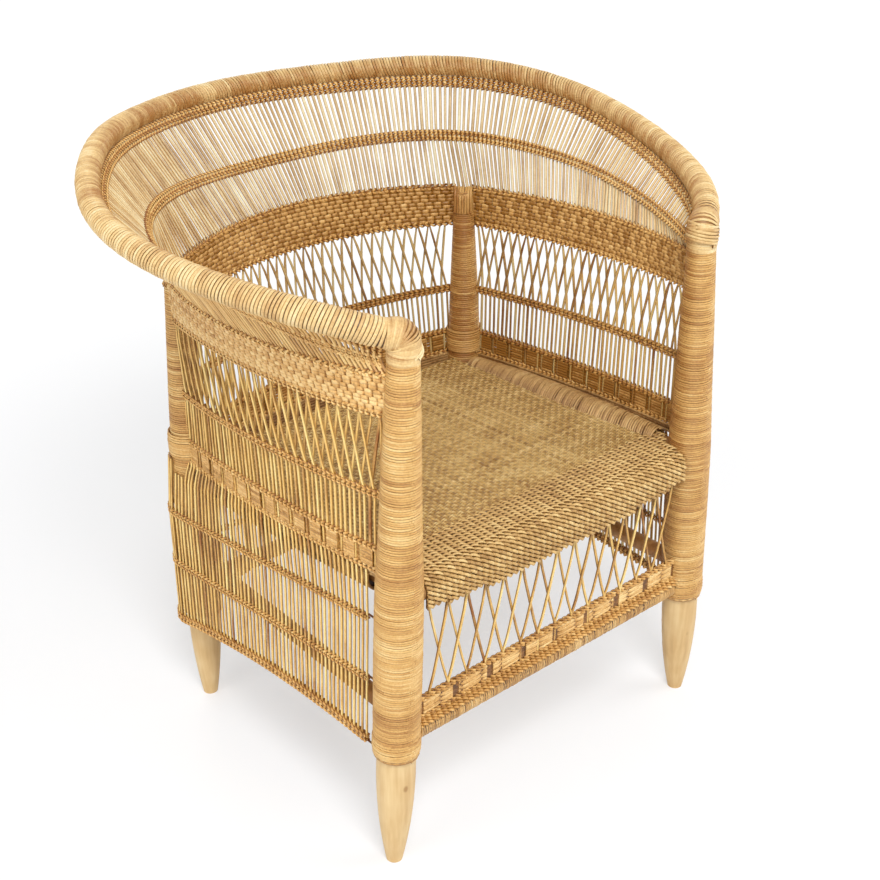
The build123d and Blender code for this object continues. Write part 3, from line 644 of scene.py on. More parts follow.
def cane(name, *tones, rough=0.46, edge=0.5, inside=PAINTED_INSIDE_SHADE, inward=(1.0, 1.0, 1.0)):
    """Split or round cane. Each strand has its own tone; its edges are painted darker than its
    crest, as shade between strands, and the side that faces the middle of the chair is painted
    darker by
    `inside` and tinted by `inward`, as shade inside the chair."""
    t = Finish(name)
    blotches, fibres, ages, tone_apart = 22.0, 420.0, 21.0, 60.0
    by_tone, by_blotch, by_age, by_fibre, darker = 0.62, 0.5, 0.45, 0.35, 0.32
    side, top, green_fade, blue_fade, smoother = 0.05, 0.8, 1.3, 1.9, 0.08
    tone, run, spot = t.attribute("tone"), t.attribute("run"), t.spot()
    # painted shade: each strand is darkened and warmed towards its sides, away from its crest, to
    # stand in for the shade in the grooves between strands
    facing = t.add("ShaderNodeNewGeometry", out="Normal")
    crest = facing.call("DOT_PRODUCT", t.attribute("out", "Vector")).call("ABSOLUTE")
    crest = t.eased(crest, side, top, edge, 1.0)
    blotch, fibre = t.noise(spot, blotches, 3.0), t.noise(spot, fibres, 2.0)
    age = t.add("ShaderNodeTexNoise", {"noise_dimensions": "1D"},
                {"W": run * ages + tone * tone_apart, "Scale": 1.0, "Detail": 2.0})
    # painted shade: cane that faces the middle of the chair is darkened, and tinted by `inward`, to
    # stand in for the shade inside the chair
    middle = spot.call("MULTIPLY", (-1.0, -1.0, 0.0)).call("NORMALIZE")
    inner_shade_mask = facing.call("DOT_PRODUCT", middle).call("MAXIMUM", 0.0)
    shade = (tone * by_tone + blotch * by_blotch + age * by_age - darker - inner_shade_mask * inside
             + (fibre - 0.5) * by_fibre)
    colour = t.toned(shade, CANE_TONES_AT, tones)
    painted_groove_shade = t.add("ShaderNodeCombineColor", None,
                   {0: crest, 1: crest.call("POWER", green_fade),
                    2: crest.call("POWER", blue_fade)})
    colour = t.add("ShaderNodeMix", {"data_type": "RGBA", "blend_type": "MULTIPLY"},
                   {0: 1.0, 6: colour, 7: painted_groove_shade}, out=2)
    painted_inner_tint = inner_shade_mask * tuple(part - 1.0 for part in inward) + (1.0, 1.0, 1.0)
    t.set("Base Color", colour * painted_inner_tint)
    t.set("Roughness", fibre * 0.2 + (rough - smoother))
    t.bump(fibre, *FIBRE_BUMP)
    return t.material


def peeled_wood(name, *tones):
    """A peeled pole: pale wood with long faint grain and a few darker knots."""
    t = Finish(name)
    along_grain, patches, knots, long_knots = (60.0, 60.0, 5.0), 14.0, 26.0, (1.0, 1.0, 0.7)
    spot = t.spot()
    grain, patch = t.noise(spot.call("MULTIPLY", along_grain), 2.2, 5.0), t.noise(spot, patches, 3.0)
    knot = t.add("ShaderNodeTexVoronoi", {"feature": "F1"},
                 {"Vector": spot.call("MULTIPLY", long_knots), "Scale": knots})
    knot = t.eased(knot, *KNOT_RIM, KNOT_DARK, 0.0)
    t.set("Base Color", t.toned(grain * 0.6 + patch * 0.5 - knot, POLE_TONES_AT, tones))
    t.set("Roughness", grain * 0.2 + 0.4)
    t.bump(grain, *GRAIN_BUMP)
    return t.material


FINISH = {name: peeled_wood(name, *tones) for name, tones in POLES.items()}
for name, (*tones, own) in CANES.items():
    FINISH[name] = cane(name, *tones, **own)
TREES = {"strand": strand_tree(), "wound": wound_tree(), "woven": woven_tree()}
SEEDS = iter(range(1, 400))


# ---------------------------------------------------------------- making pieces

# what the trees read at each point of a guide, with its usual value; what a grown piece drops;
# and which sizes are lengths
POINT_VALUES = {"swell": 1.0, "beat": 0.0, "spread": 1.0, "tint": 0.0, "span": 1.0}
SPARE = (*POINT_VALUES, "up", "row", "strand", "spot", "turn")
LENGTHS = ("step", "pitch", "row_pitch", "depth", "rise", "wander", "lift", "slope", "slant",
           "width", "thickness")


def metres(points):
    return (np.asarray(points, float) - (0, CENTRE_Y, 0)) / 1000


def add_object(name, data):
    obj = bpy.data.objects.new(name, data)
    bpy.context.scene.collection.objects.link(obj)
    return obj


def guide(name, runs):
    """A wire mesh of runs. A run is a dict of points, the way out and what else its tree reads,
    given once for the whole run or point by point."""
    mesh = bpy.data.meshes.new(name)
    points, edges = [], []
    for run in runs:
        first = len(points)
        points += run["points"]
        edges += [(i, i + 1) for i in range(first, len(points) - 1)]
    mesh.from_pydata(metres(points).tolist(), edges, [])
    for label, usual in POINT_VALUES.items():
        values = [np.broadcast_to(run.get(label, usual), len(run["points"])) for run in runs]
        mesh.attributes.new(label, "FLOAT", "POINT").data.foreach_set(
            "value", np.concatenate(values).astype(float))
    for label in ("out", "up"):
        ways = [np.broadcast_to(run.get(label, UP), (len(run["points"]), 3)) for run in runs]
        mesh.attributes.new(label, "FLOAT_VECTOR", "POINT").data.foreach_set(
            "vector", np.concatenate(ways).ravel())
    return mesh


def grow(name, kind, slot, runs, nodes=(), **sizes):
    """Grows one piece from guides with one of the trees, and leaves it a plain mesh. Sizes are
    named as the tree's inputs are."""
    piece = add_object(name, guide(name, runs))
    modifier = piece.modifiers.new("weave", "NODES")
    tree = modifier.node_group = TREES[kind]
    given = {"sides": 6, "seed": next(SEEDS), "material": FINISH[slot], **sizes}
    for item in tree.interface.items_tree:
        label = item.name.lower().replace(" ", "_")
        if item.in_out == "INPUT" and label in given:
            value = given[label] / 1000 if label in LENGTHS else given[label]
            modifier[item.identifier] = value
    ready = piece.evaluated_get(bpy.context.evaluated_depsgraph_get())
    mesh = bpy.data.meshes.new_from_object(ready)
    piece.modifiers.clear()
    piece.data = mesh
    for spare in SPARE:
        if spare in mesh.attributes:
            mesh.attributes.remove(mesh.attributes[spare])
    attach(piece, "root")
    if nodes:
        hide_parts(*nodes)


# ---------------------------------------------------------------- bindings

WOUND = {"pitch": 3.0, "turn_steps": 18, "wander": 1.1, "lift": 0.3, "group": 7.0, "slope": 1.2,
         "slant": 0, "contrast": 0.65, "width": 3.1, "thickness": 1.9, "sides": 8}


def wind(name, slot, points, out, radii, nodes=(), **sizes):
    """Winds a pole with cane; radii reach the middle of the strands."""
    run = {"points": points, "out": out, "swell": np.array(radii) / 1000}
    grow(name, "wound", slot, [run], nodes, **{**WOUND, **sizes})


def wind_post(name, end, side, stations, nodes=(), **sizes):
    """Winds a stretch of a post from stations of (height, radius)."""
    axis = front_axis if end == "front" else rear_axis
    heights = np.linspace(stations[0][0], stations[-1][0], STATIONS["post"])
    wind(name, "bound_cane", [axis(z, side) for z in heights], FRONT,
         np.interp(heights, *zip(*stations)), nodes, **sizes)


def collar(wound):
    """Stations of a lashing: a low barrel."""
    low, high, radius = wound
    return [*[(low + inside, radius - thinner) for inside, thinner in BARREL_ENDS],
            ((low + high) / 2, radius - BARREL_MIDDLE),
            *[(high - inside, radius - thinner) for inside, thinner in reversed(BARREL_ENDS)]]


def bind_posts():
    for name, side in SIDES.items():
        for end, stations in (("front", FRONT_SLEEVE), ("rear", REAR_SLEEVE)):
            (low, foot), (high, head) = stations[0], stations[-1]
            wound = [(low - SLEEVE_EDGE, foot - SLEEVE_EDGE),
                     (low + SLEEVE_RISE, foot + SLEEVE_OVER),
                     *[(z, radius + SLEEVE_OVER) for z, radius in stations[1:-1]],
                     (high, head - SLEEVE_OVER)]
            wind_post(f"{end}_{name}_winding", end, side, wound)
        wind_post(f"rear_{name}_lashing", "rear", side, collar(REAR_LASHING),
                  ["rear_lashings"], pitch=3.3, width=3.6, thickness=2.6, slope=2.2, wander=1.6,
                  lift=0.6)
        wind_post(f"apron_{name}_lashing", "front", side, collar(APRON_LASHING),
                  ["apron_lashings"], pitch=3.1, width=3.4, thickness=2.2, slope=3.4, wander=1.6,
                  lift=0.5)


def tie_rear_tops():
    """Canes laid side by side over the top of each rear post, down into the plait."""
    for name, side in SIDES.items():
        away = unit(vec(side * TIE_AWAY, TIE_ALONG, 0))
        across = unit(vec(-TIE_ALONG, side * TIE_AWAY, 0))
        runs = []
        for i in range(-TIE_SIDE, TIE_SIDE + 1):
            wide = sqrt(TIE_RADIUS ** 2 - (i * TIE_PITCH) ** 2)
            runs.append({"points": [rear_axis(z, side) + across * i * TIE_PITCH
                                    + away * wide * share for z, share in TIE_PATH],
                         "out": [unit(away * share + UP * (1 - abs(share)))
                                 for _, share in TIE_PATH], "span": CANE_SPAN, "tint": 0.1})
        grow(f"rear_{name}_tie", "strand", "bound_cane", runs, step=4, wander=0.8, width=4,
             thickness=2.4, sides=7)


def elbow(name, side):
    """The line on which the winding of a front post turns over into the hoop."""
    return Bend([*[front_axis(height, side) for height in ELBOW_FOOT],
                 *[(side * x, y, z) for x, y, z in KNUCKLE], HOOP.at(ELBOW_ENDS[name])])


def bind_hoop():
    us = np.linspace(*HOOP_WOUND, STATIONS["hoop"])
    wind("hoop_winding", "hoop_cane", [HOOP.at(u) for u in us],
         [unit(np.cross(HOOP.along(u), UP)) for u in us], [hoop_radius(u) + HOOP_OVER for u in us],
         pitch=4.2, wander=0.9, lift=0.4, group=4.0, slope=1.2, slant=3.5, contrast=0.5, width=4,
         thickness=2.6)
    for name, side in SIDES.items():
        turn, shares = elbow(name, side), np.linspace(0, 1, STATIONS["elbow"])
        wind(f"arm_{name}_elbow", "hoop_cane", [turn.at(share) for share in shares],
             unit(np.cross(HOOP.along((1 + side) / 2), UP)),
             np.interp(shares, ELBOW_PLACES, ELBOW_RADII), pitch=1.7, wander=0.6, lift=0.4,
             group=3.0, slope=1, slant=1, contrast=0.6, width=3.6, thickness=2.2)
    for name, side in SIDES.items():
        lean, thick, height = ARM_LASHINGS[name]
        centre, tilt = front_axis(height, side), unit(vec(side * lean, *ARM_TILT))
        steps = np.linspace(-ARM_LASHING_HALF, ARM_LASHING_HALF, len(ARM_LASHING_SWELL))
        wind(f"arm_{name}_lashing", "hoop_cane", [centre + tilt * d for d in steps], FRONT,
             [thick + d for d in ARM_LASHING_SWELL], ["arm_lashings"], pitch=3.9, wander=1.6,
             lift=0.6, slope=2.2, contrast=0.9, width=3.8, thickness=2.6)


# ---------------------------------------------------------------- woven rows

# dip sets the strength of the painted shade where weavers cross
TWINED = {"strands": 2, "block": 1.0, "stagger": 0.0, "square": 0.1, "dip": 0.7, "step": 1.6,
          "depth": 2.6, "rise": 1.1, "wander": 0.3, "width": 3, "thickness": 2.2}
FLAT = {"strands": 1, "dip": 0.0, "step": 10, "depth": 0, "rise": 0, "width": 4.6}


def rows_on(frames, beats, **more):
    """A run for woven rows from frames of (point, up, out)."""
    points, ups, outs = zip(*frames)
    return {"points": points, "up": ups, "out": outs, "beat": beats, **more}


def twined(name, slot, runs, nodes, rows, pitch=3.6, **sizes):
    """Rows of weavers along each run, `pitch` apart."""
    grow(name, "woven", slot, runs, nodes,
         **{**TWINED, "rows": rows, "row_pitch": pitch, **sizes})


def moved(frames, up_by, out_by=0):
    return [(point + up * up_by + out * out_by, up, out) for point, up, out in frames]


def double_row(name, frames, beats, node):
    """Two close pairs of twined rows with a line of gaps between them."""
    runs = [rows_on(moved(frames, step), beats) for step in (-DOUBLE_ROW / 2, DOUBLE_ROW / 2)]
    twined(name, "twined_cane", runs, [node], 2, 3.4, width=3.1, rise=1.5, dip=1.7)


# ---------------------------------------------------------------- walls

def lattice_stake(wall, t, sign, top):
    """Points and outs of a stake that stands at t, crosses its neighbours and ends at `top`."""
    places = [("window_low", "window_high", 0), ("window_high", "thin_band", 0),
              ("thin_band", "plait_low", BAND_LAYER * sign)]
    if wall == "back" or t > SKIRT_START / wall_length(wall):
        places = [*zip(SKIRT, SKIRT[1:] + SKIRT[:1], [0] * len(SKIRT)), *places]
    spots = []
    for level, above, layer in places:
        point, _, out = wall_frame(wall, level, t, above)
        spots.append((point + out * layer, out))
    for share in LATTICE_SHARES:
        at = t + (top - t) * share
        low, _, out = wall_frame(wall, "thin_band", at, "plait_low")
        point = low + (wall_point(wall, "plait_low", at) - low) * share
        spots.append((point + out * (LATTICE_LAYER * sign), out))
    for level, above in (("plait_low", "plait_high"), ("plait_high", "plait_low")):
        point, _, out = wall_frame(wall, level, top, above)
        spots.append((point, out))
    return zip(*spots)


def skirt_canes(wall):
    """The skirt's canes beside the posts' bindings and round a rear post."""
    gap = STAKE_PITCH / wall_length(wall)
    beside = list(np.arange(stake_span(wall)[1] + gap / 2, 1, gap))
    beside += [1 - t for t in beside] if wall == "back" else []
    runs = [{"points": [wall_point(wall, level, t) for level in SKIRT], "out": outward(wall)}
            for t in beside]
    if wall != "back":
        height, reach = CORNER_TOP
        for turn in CORNER_CANES:
            frames = [corner_frame(SIDES[wall], level, turn) for level in SKIRT[:3]]
            away = frames[0][2]
            runs.append({"points": [f[0] for f in frames]
                         + [rear_axis(height, SIDES[wall]) + away * reach], "out": away})
    return [{**run, "span": CANE_SPAN, "tint": 0.2} for run in runs]


def wall_stakes(wall):
    first, last, count = stake_span(wall)
    lean = LATTICE_LEAN / wall_length(wall)
    low_first, low_last = wall_span(wall, "plait_low")
    runs = []
    for i in range(count):
        t = first + (last - first) * (i + 0.5) / count
        sign = 1 if i % 2 else -1
        top = min(max(t + sign * lean, low_first + LATTICE_MARGIN), low_last - LATTICE_MARGIN)
        points, outs = lattice_stake(wall, t, sign, top)
        runs.append({"points": points, "out": outs, "span": STAKE_SPAN,
                     "swell": [1.0] * (len(points) - len(STAKE_TIPS)) + STAKE_TIPS,
                     "tint": STAKE_TINTS[sign]})
    grow(f"{wall}_canes", "strand", "round_cane", runs + skirt_canes(wall), [f"{wall}_stakes"],
         step=12, wander=1.1, width=3.8 if wall == "left" else 3.6, thickness=3.4, sides=8)


def skirt_row(wall, level):
    """A row of the skirt: along its straight run and round the rear post, or both of them."""
    ts = np.linspace(*wall_span(wall, level), STATIONS["row"])
    frames = [(wall_point(wall, level, t), UP, outward(wall)) for t in ts]
    beats = [beat_at(wall, t) for t in ts]
    after = [beats[-1] + turn / TURN_BEAT for turn in CORNER_TURNS]
    if wall != "back":
        corner = [corner_frame(SIDES[wall], level, turn) for turn in CORNER_TURNS]
        return rows_on(frames + corner, beats + after)
    before = [beats[0] - turn / TURN_BEAT for turn in reversed(CORNER_TURNS)]
    left, right = [[corner_frame(side, level, 90 - turn) for turn in CORNER_TURNS]
                   for side in (-1, 1)]
    return rows_on(left[::-1] + frames + right, before + beats + after)


def band_stations(wall, level):
    """Where a band is drawn; it runs on into the windings of the posts."""
    start, stop = wall_span(wall, level)
    reach = REACH / wall_length(wall)
    return np.linspace(start - reach, stop + reach, STATIONS["band"])


def band_frames(wall, level, above):
    return [wall_frame(wall, level, t, above) for t in band_stations(wall, level)]


def band(wall, level, above):
    beats = [beat_at(wall, t) for t in band_stations(wall, level)]
    return rows_on(band_frames(wall, level, above), beats)


def skirt_and_bands(wall):
    twined(f"{wall}_hem_braid", "twined_cane", [skirt_row(wall, "hem")], [f"{wall}_hem"], 3, 3.9,
           rise=1.9, width=4, thickness=3.4)
    runs = [skirt_row(wall, level) for level in ("lower_row", "upper_row")]
    twined(f"{wall}_skirt_twining", "twined_cane", runs, [f"{wall}_skirt_rows"], 2, 4.4,
           rise=1.6, width=3.2)
    twined(f"{wall}_thin_twining", "twined_cane", [band(wall, "thin_band", "plait_low")],
           [f"{wall}_thin_band"], 3)


def window_lining(wall):
    """Flat rows inside the skirt's top, under the windows."""
    edge = band_frames(wall, "window_low", "window_high")
    return [rows_on(moved(edge, -drop, -LINING_IN), 0.0)
            for drop in range(LINING_PITCH, LINING_DROP[wall], LINING_PITCH)]


def window_backing(wall):
    """Dark flat rows behind the gaps between the windows' panels: painted shade seen through the
    gaps.
    """
    edges = list(zip(band_frames(wall, "window_low", "window_high"),
                     band_frames(wall, "window_high", "thin_band")))
    return [rows_on([(low[0] + (high[0] - low[0]) * share, low[1], low[2])
                     for low, high in edges], 0.0, tint=-0.45) for share in BACKING_SHARES]


def window_panels(wall):
    start, stop = wall_span(wall, "window_low")
    length = wall_length(wall)
    count = int((stop - start) * length / WINDOW_PITCH)
    runs = []
    for i in range(count):
        middle = start + (stop - start) * (i + 0.5) / count
        frames = [middle_frame(wall, "window_low", "window_high",
                               middle + side * PANEL_HALF / length)
                  for side in PANEL_POINTS]
        runs.append(rows_on(frames, 0.5, tint=-0.02))
    return runs


def window_band(wall):
    nodes = [f"{wall}_window_band"]
    edges = [band(wall, "window_low", "window_high"), band(wall, "window_high", "thin_band")]
    twined(f"{wall}_window_edges", "twined_cane", edges, nodes, 2, 3.7, width=3.7)
    twined(f"{wall}_window_lining", "roll_cane", window_lining(wall), nodes, 1, **FLAT)
    twined(f"{wall}_window_backing", "plaited_cane", window_backing(wall), nodes, 1,
           thickness=1.2, **FLAT)
    twined(f"{wall}_window_panels", "plaited_cane", window_panels(wall), nodes, 6, 3.9, step=4,
           width=4.6, thickness=1.6, depth=2.5, rise=0, dip=0.0)


def plaited_band(wall):
    ts = band_stations(wall, "plait_low")
    frames = [middle_frame(wall, "plait_low", "plait_high", t) for t in ts]
    tall = [np.linalg.norm(wall_point(wall, "plait_high", t) - wall_point(wall, "plait_low", t))
            for t in ts]
    run = rows_on(frames, [beat_at(wall, t) * PLAIT_BEAT for t in ts],
                  spread=[height / PLAIT_ROWS / PLAIT_PITCH for height in tall])
    twined(f"{wall}_plait", "plaited_cane", [run], [f"{wall}_plaited_band"], PLAIT_ROWS,
           PLAIT_PITCH, block=2.0, stagger=pi / 2, square=1.4, step=2, depth=2.1, rise=0.4,
           dip=1.0, width=6.3, thickness=1.7)
    edges = [band(wall, "plait_low", "plait_high"), band(wall, "plait_high", "plait_low")]
    twined(f"{wall}_plait_edges", "twined_cane", edges, [f"{wall}_plaited_band"], 2, 3.8,
           depth=3.4, rise=1.6, dip=1.3, width=3.3)


def flare():
    shares = [(i + 0.5) / FLARE_STAKES for i in range(FLARE_STAKES)]
    for wall, (first, last) in FLARE_SPANS.items():
        runs = [{"points": (plait_top(u), MID_ROW.at(u), flare_tip(u)),
                 "out": flare_frame(u, "mid_row")[2], "span": CANE_SPAN, "tint": 0.25}
                for u in shares if first <= u < last]
        grow(f"{wall}_flare_canes", "strand", "flare_cane", runs, [f"{wall}_flare_stakes"],
             step=5, wander=1, width=4.3, thickness=3.4, sides=7)
        us = np.linspace(first, last, STATIONS["flare"])
        for row in ("mid_row", "rim_row"):
            double_row(f"{wall}_{row}_twining", [flare_frame(u, row) for u in us],
                       us * FLARE_STAKES, f"{wall}_{row}")


# ---------------------------------------------------------------- seat and apron

def seat_z(y):
    return SEAT_FRONT - SEAT_FALL * (y - ROLL_BACK) / (REAR_Y - ROLL_BACK)


def seat():
    half = front_axis(SIDE_RAIL_Z[0], 1)[0] - SIDE_RAIL_IN[0] - SIDE_ROLL
    up = unit(vec(0, SEAT_FALL / (REAR_Y - ROLL_BACK), 1))
    back = unit(vec(0, REAR_Y - ROLL_BACK, -SEAT_FALL))
    end = REAR_Y - 1
    mat = {"rows": 1, "strands": 1, "block": 1.0, "rise": 0, "square": 0.6, "stagger": 0.0}
    rows, count = [], STATIONS["weft"]
    for i in range(int((end - ROLL_BACK) / WEFT)):
        y = ROLL_BACK + (i + 0.5) * WEFT
        rows.append({"points": [vec(x, y, seat_z(y) - WEFT_DEEP)
                                for x in np.linspace(-half, half, count)],
                     "out": up, "up": back,
                     "beat": np.linspace(0, 2 * half / WARP, count) + i // 2})
    grow("seat_weft", "woven", "seat_weave", rows, ["seat_mat"], step=2.2, depth=1.1, dip=0.9,
         wander=0.5, width=3.1, thickness=1.3, sides=4, **mat)
    cols = []
    for i in range(int(2 * half / WARP)):
        x = -half + (i + 0.5) * WARP
        cols.append({"points": [vec(x, y, seat_z(y) - WARP_DEEP)
                                for y in np.linspace(ROLL_BACK, end, STATIONS["warp"])],
                     "out": up, "up": vec(1, 0, 0), "tint": -0.1})
    grow("seat_warp", "woven", "seat_weave", cols, ["seat_mat"], step=12, depth=0, dip=0.0,
         wander=0.4, width=5.8, thickness=2, **mat)


def drop_edge(x, half):
    """The lower edge of the front roll, which is drawn down in the middle."""
    ends, middle = ROLL_DROP
    return ends - (ends - middle) * (1 - (x / half) ** 2)


def roll_section():
    """The front roll's rows from back to front and down, as (y, z, way out in y and z)."""
    gap, least = ROLL_TOP_ENDS
    section = [(y, FRONT_RAIL_Z + ROLL_TOP + ROLL_CROWN * (1 - (y / ROLL_BACK) ** 2), 0, 1)
               for y in np.linspace(ROLL_BACK - gap, least, ROLL_TOP_ROWS)]
    for turn in ROLL_TURNS:
        a = radians(turn)
        section.append((-ROLL_RADIUS * sin(a), FRONT_RAIL_Z + ROLL_RADIUS * cos(a), -sin(a),
                        cos(a)))
    return section + [(-ROLL_RADIUS, z, -1, 0)
                      for z in np.arange(FRONT_RAIL_Z - ROLL_HANGS, ROLL_FOOT, -ROLL_PITCH)]


def front_roll():
    """Twined rows side by side, over the top, round the front and down to the apron."""
    half = front_axis(FRONT_RAIL_Z, 1)[0] - sleeve_radius("front", FRONT_RAIL_Z)
    behind, widest = ROLL_WIDER
    runs = []
    for y, z, out_y, out_z in roll_section():
        wide = half + max(min(y - behind, widest), 0)
        hangs = out_y == -1
        inside = [x for x in np.linspace(-wide, wide, STATIONS["front_roll"])
                  if not hangs or z > drop_edge(x, half) + ROLL_TRIM]
        if len(inside) >= 2:
            out = unit(vec(0, out_y, out_z))
            runs.append({"points": [vec(x, y, z) for x in inside], "out": out,
                         "up": unit(np.cross(vec(1, 0, 0), out)),
                         "beat": [(x + half) / ROLL_BEAT for x in inside]})
    twined("front_roll_twining", "front_weave", runs, ["seat_front_roll"], 1, step=2, depth=1.9,
           rise=2.6, dip=0.1, width=4.4, thickness=2.6, wander=0.8)
    # painted shade: a dark lining just inside the roll's rows, seen through their gaps
    for run in runs:
        run["points"] = [point - run["out"] * ROLL_LINING_IN for point in run["points"]]
    twined("front_roll_lining", "underlay", runs, ["seat_front_roll"], 1, step=20, strands=1,
           depth=0, rise=0, width=7.2, thickness=1.2)


def bind_side_roll(name, side):
    inward, upward, fatter = SIDE_ROLL_BELLY
    start = front_axis(SIDE_RAIL_Z[0], side) + vec(-side * SIDE_RAIL_IN[0], SIDE_RAIL_Y[0], 0)
    end = rear_axis(SIDE_RAIL_Z[1], side) - vec(side * SIDE_RAIL_IN[1], SIDE_RAIL_Y[1], 0)
    along = unit(end - start)
    start, end = start + along * SIDE_ROLL_GAPS[0], end - along * SIDE_ROLL_GAPS[1]
    shares = np.linspace(0, 1, STATIONS["side_roll"])
    bellies = [4 * s * (1 - s) for s in shares]
    points = [start + (end - start) * s + vec(-side * inward * b, 0, upward * b)
              for s, b in zip(shares, bellies)]
    wind(f"seat_{name}_winding", "roll_cane", points, UP, [SIDE_ROLL + fatter * b for b in bellies],
         pitch=3.6, wander=2.2, lift=1, group=5.0, slope=3, slant=6, width=3.7, thickness=2.6)


def bind_rails():
    for name, side in SIDES.items():
        bind_side_roll(name, side)
    for name, axis, (z, gap, radius) in (("seat_back_winding", rear_axis, SEAT_BACK_RAIL),
                                         ("apron_rail_winding", front_axis, APRON_RAIL)):
        start, end = axis(z, -1) + vec(gap, 0, 0), axis(z, 1) - vec(gap, 0, 0)
        shares = np.linspace(0, 1, STATIONS["rail"])
        wind(name, "rail_cane", [start + (end - start) * s for s in shares], UP,
             [radius] * len(shares), pitch=3.1, turn_steps=14, wander=1.4, lift=0.6, group=6.0,
             slope=2.4, slant=1.5, width=3.3, thickness=2)


def apron_stakes(half):
    """Canes that rise in pairs from the apron's band and cross on their way to the roll."""
    low, high = APRON_BAND
    pitch = 2 * half / (APRON_PAIRS + 1)
    runs = []
    for i in range(APRON_PAIRS):
        x = -half + pitch * (i + 0.5)
        for sign in (1, -1):
            foot, head = (x, x + pitch) if sign > 0 else (x + pitch, x)
            top = drop_edge(head, half) + APRON_TRIM
            points = [vec(foot, APRON_Y, low), vec(foot, APRON_Y, high)]
            for share, layer in APRON_SHARES:
                points.append(vec(foot + (head - foot) * share,
                                  APRON_Y - APRON_LAYER * sign * layer,
                                  high + (top - high) * share))
            runs.append({"points": points, "out": FRONT, "span": CANE_SPAN,
                         "tint": APRON_TINTS[sign]})
    return runs


def apron_row(half, y, z, out=FRONT, ends=None, beat=APRON_BEAT, **more):
    """A row across the apron, from post to post where no ends are given."""
    xs = np.linspace(*(ends or (-half - APRON_REACH, half + APRON_REACH)), STATIONS["row"])
    up = unit(np.cross(vec(1, 0, 0), out))
    return rows_on([(vec(x, y, z), up, out) for x in xs], [(x + half) / beat for x in xs], **more)


def apron():
    low, high = APRON_BAND
    half = front_axis(high, 1)[0] - FRONT_SLEEVE[1][1]
    grow("apron_canes", "strand", "round_cane", apron_stakes(half), ["apron_stakes"], step=9,
         wander=0.8, width=3.6, thickness=3.5, sides=8)
    borders = [apron_row(half, APRON_Y, z) for z in APRON_ROWS]
    for turn in APRON_TURNS:
        out = vec(0, -sin(radians(turn)), cos(radians(turn)))
        _, y, z = out * APRON_ARC
        borders.append(apron_row(half, y, APRON_RAIL_Z + z, out))
    twined("apron_twining", "twined_cane", borders, ["apron_band"], 1, width=3.6, dip=0.2,
           rise=1.4, wander=0.6)
    panels, pitch, z = [], 2 * half / APRON_WINDOWS, (high + low) / 2 + APRON_PANEL_UP
    for i in range(APRON_WINDOWS):
        middle = -half + pitch * (i + 0.5)
        ends = (middle - APRON_PANEL / 2, middle + APRON_PANEL / 2)
        panels.append(apron_row(half, APRON_Y, z, FRONT, ends, PANEL_BEAT, tint=0.15))
    twined("apron_panels", "plaited_cane", panels, ["apron_band"], 6, 3.2, block=6.0, square=0.9,
           depth=1.4, rise=0.9, dip=0.3, width=4.6, thickness=1.8)
    # painted shade: a dark lining behind the apron's panels, seen through their gaps
    twined("apron_lining", "underlay", [apron_row(half, APRON_Y, z)], ["apron_band"], 6, 3.2,
           step=4, depth=0.6, rise=0, width=4.2, thickness=1.6)


# ---------------------------------------------------------------- dressing the frame's own nodes

# nodes that show only through their windings, in the dark underlay as painted shade in the slits
DARK_UNDER = ("hoop_binding", "seat_left_roll", "seat_right_roll", "seat_back_roll",
              "apron_rail_binding")
PALE_UNDER = ("arm_caps", "front_left_binding", "front_right_binding", "rear_left_binding",
              "rear_right_binding")


def dress(slot_of):
    """Gives every CAD node that stays its finish."""
    for node, slot in slot_of.items():
        materials = frame["nodes"][node].data.materials
        materials.clear()
        finish = ("underlay" if node in DARK_UNDER else "pale_underlay" if node in PALE_UNDER
                  else slot)
        materials.append(FINISH[finish])


# ---------------------------------------------------------------- room, light and camera

# in metres and watts: each lamp's place, width and power
LAMPS = {"key": ((-1.2, -2.2, 3.2), 1.3, 90), "left": ((-2.5, -0.2, 1.2), 1.6, 17),
         "fill": ((2.4, -1.8, 1.6), 2.0, 33), "rim": ((0.6, 2.6, 2.4), 1.8, 16)}
LAMPS_AIM, FLOOR_HALF = (0, 0, 0.35), 14
FLOOR_TONE, FLOOR_GLOW, FLOOR_ROUGH = (0.93, 0.94, 0.96, 1), 1.08, 0.9
GLOW_NEAR, GLOW_FAR = (0.6, 0.4), (1.9, 1.0)  # distance from the chair, and share of the glow
SKY_SEEN, SKY_LIGHT = 1.0, 0.4
WHITE = (1, 1, 1, 1)
# the camera's place, its turns to the side and down in degrees, and its lens
CAMERA_PLACE, CAMERA_YAW, CAMERA_PITCH = (-1160.7, -1107.6, 1372.5), -41.35, 28.815
SENSOR, LENS = 36, 63.25


def aim(obj, direction):
    obj.rotation_euler = direction.to_track_quat("-Z", "Y").to_euler()


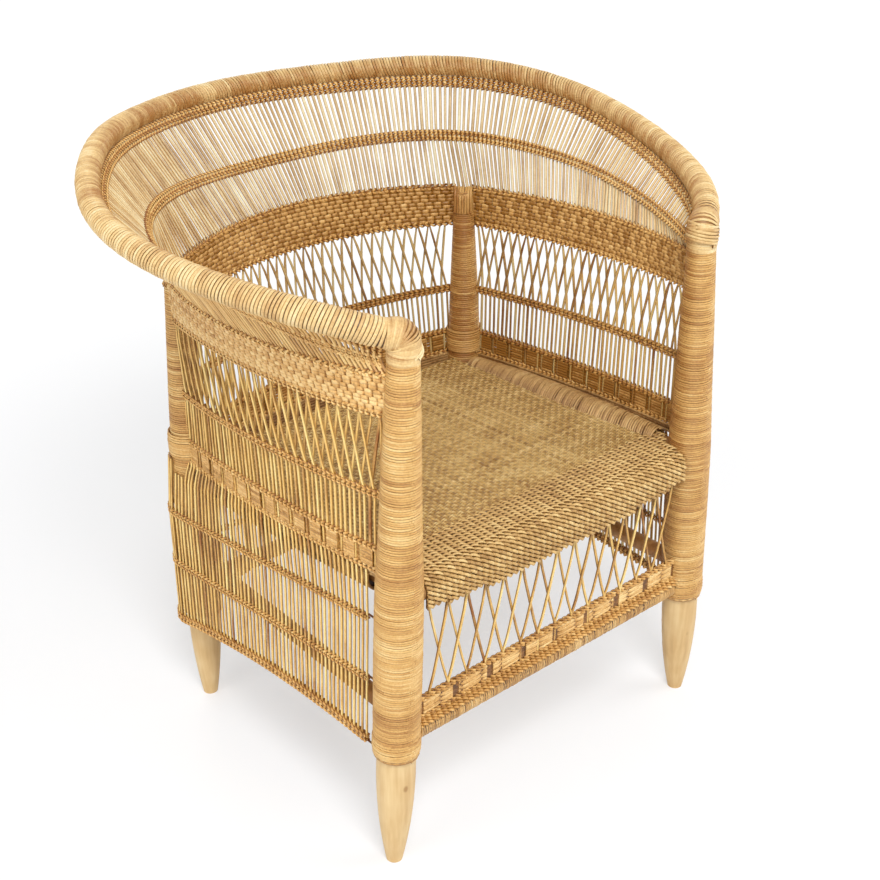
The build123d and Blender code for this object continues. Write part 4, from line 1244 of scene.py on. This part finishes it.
def stage():
    """A pale floor that takes shadows near the chair and is seen as plain white farther away. A glow
    that only the camera sees is painted light: it lightens the shadows near the chair and grows to
    plain white farther away.
    """
    t = Finish("pale_floor")
    t.set("Base Color", FLOOR_TONE)
    t.set("Roughness", FLOOR_ROUGH)
    seen = t.add("ShaderNodeLightPath", out="Is Camera Ray")
    glow = t.add("ShaderNodeEmission", None, {"Color": WHITE, "Strength": FLOOR_GLOW})
    (near, least), (far, most) = GLOW_NEAR, GLOW_FAR
    sweep = t.eased(t.spot().call("LENGTH"), near, far, least, most)
    mixed = t.add("ShaderNodeMixShader", None,
                  {0: seen * sweep, 1: Value(t, t.shader.outputs[0]), 2: glow})
    t.link(t.tree.nodes["Material Output"].inputs["Surface"], mixed)
    mesh = bpy.data.meshes.new("floor")
    corners = [(x * FLOOR_HALF, y * FLOOR_HALF, 0) for x, y in ((-1, -1), (1, -1), (1, 1), (-1, 1))]
    mesh.from_pydata(corners, [], [(0, 1, 2, 3)])
    mesh.materials.append(t.material)
    obj = add_object("floor", mesh)


def light_room():
    scene = bpy.context.scene
    scene.world = bpy.data.worlds.new("studio")
    scene.world.use_nodes = True
    t = Tree(scene.world.node_tree)
    path = t.node("ShaderNodeLightPath")
    seen = Value(t, path.outputs["Is Camera Ray"])
    for label in ("Is Glossy Ray", "Is Transmission Ray"):
        seen = seen.call("MAXIMUM", Value(t, path.outputs[label]))
    back = t.tree.nodes["Background"]
    t.link(back.inputs["Color"], WHITE)
    t.link(back.inputs["Strength"], seen * (SKY_SEEN - SKY_LIGHT) + SKY_LIGHT)
    for name, (place, size, power) in LAMPS.items():
        light = bpy.data.lights.new(name, "AREA")
        light.shape, light.size, light.energy = "SQUARE", size, power
        lamp = add_object(name, light)
        lamp.location = place
        aim(lamp, Vector(LAMPS_AIM) - Vector(place))
    scene.view_settings.view_transform = "Standard"


def camera():
    data = bpy.data.cameras.new("camera")
    data.sensor_fit, data.sensor_width, data.lens = "HORIZONTAL", SENSOR, LENS
    obj = add_object("camera", data)
    obj.location = metres([CAMERA_PLACE])[0]
    yaw, pitch = radians(CAMERA_YAW), radians(CAMERA_PITCH)
    aim(obj, Vector((-sin(yaw) * cos(pitch), cos(yaw) * cos(pitch), -sin(pitch))))
    bpy.context.scene.camera = obj


def build():
    bind_posts()
    tie_rear_tops()
    bind_hoop()
    for wall in ("left", "back", "right"):
        wall_stakes(wall)
        skirt_and_bands(wall)
        window_band(wall)
        plaited_band(wall)
    flare()
    seat()
    front_roll()
    bind_rails()
    apron()
    dress({row["node"]: row["material_slot"] for row in frame["record"]["subparts"]})
    stage()
    light_room()
    camera()


build()
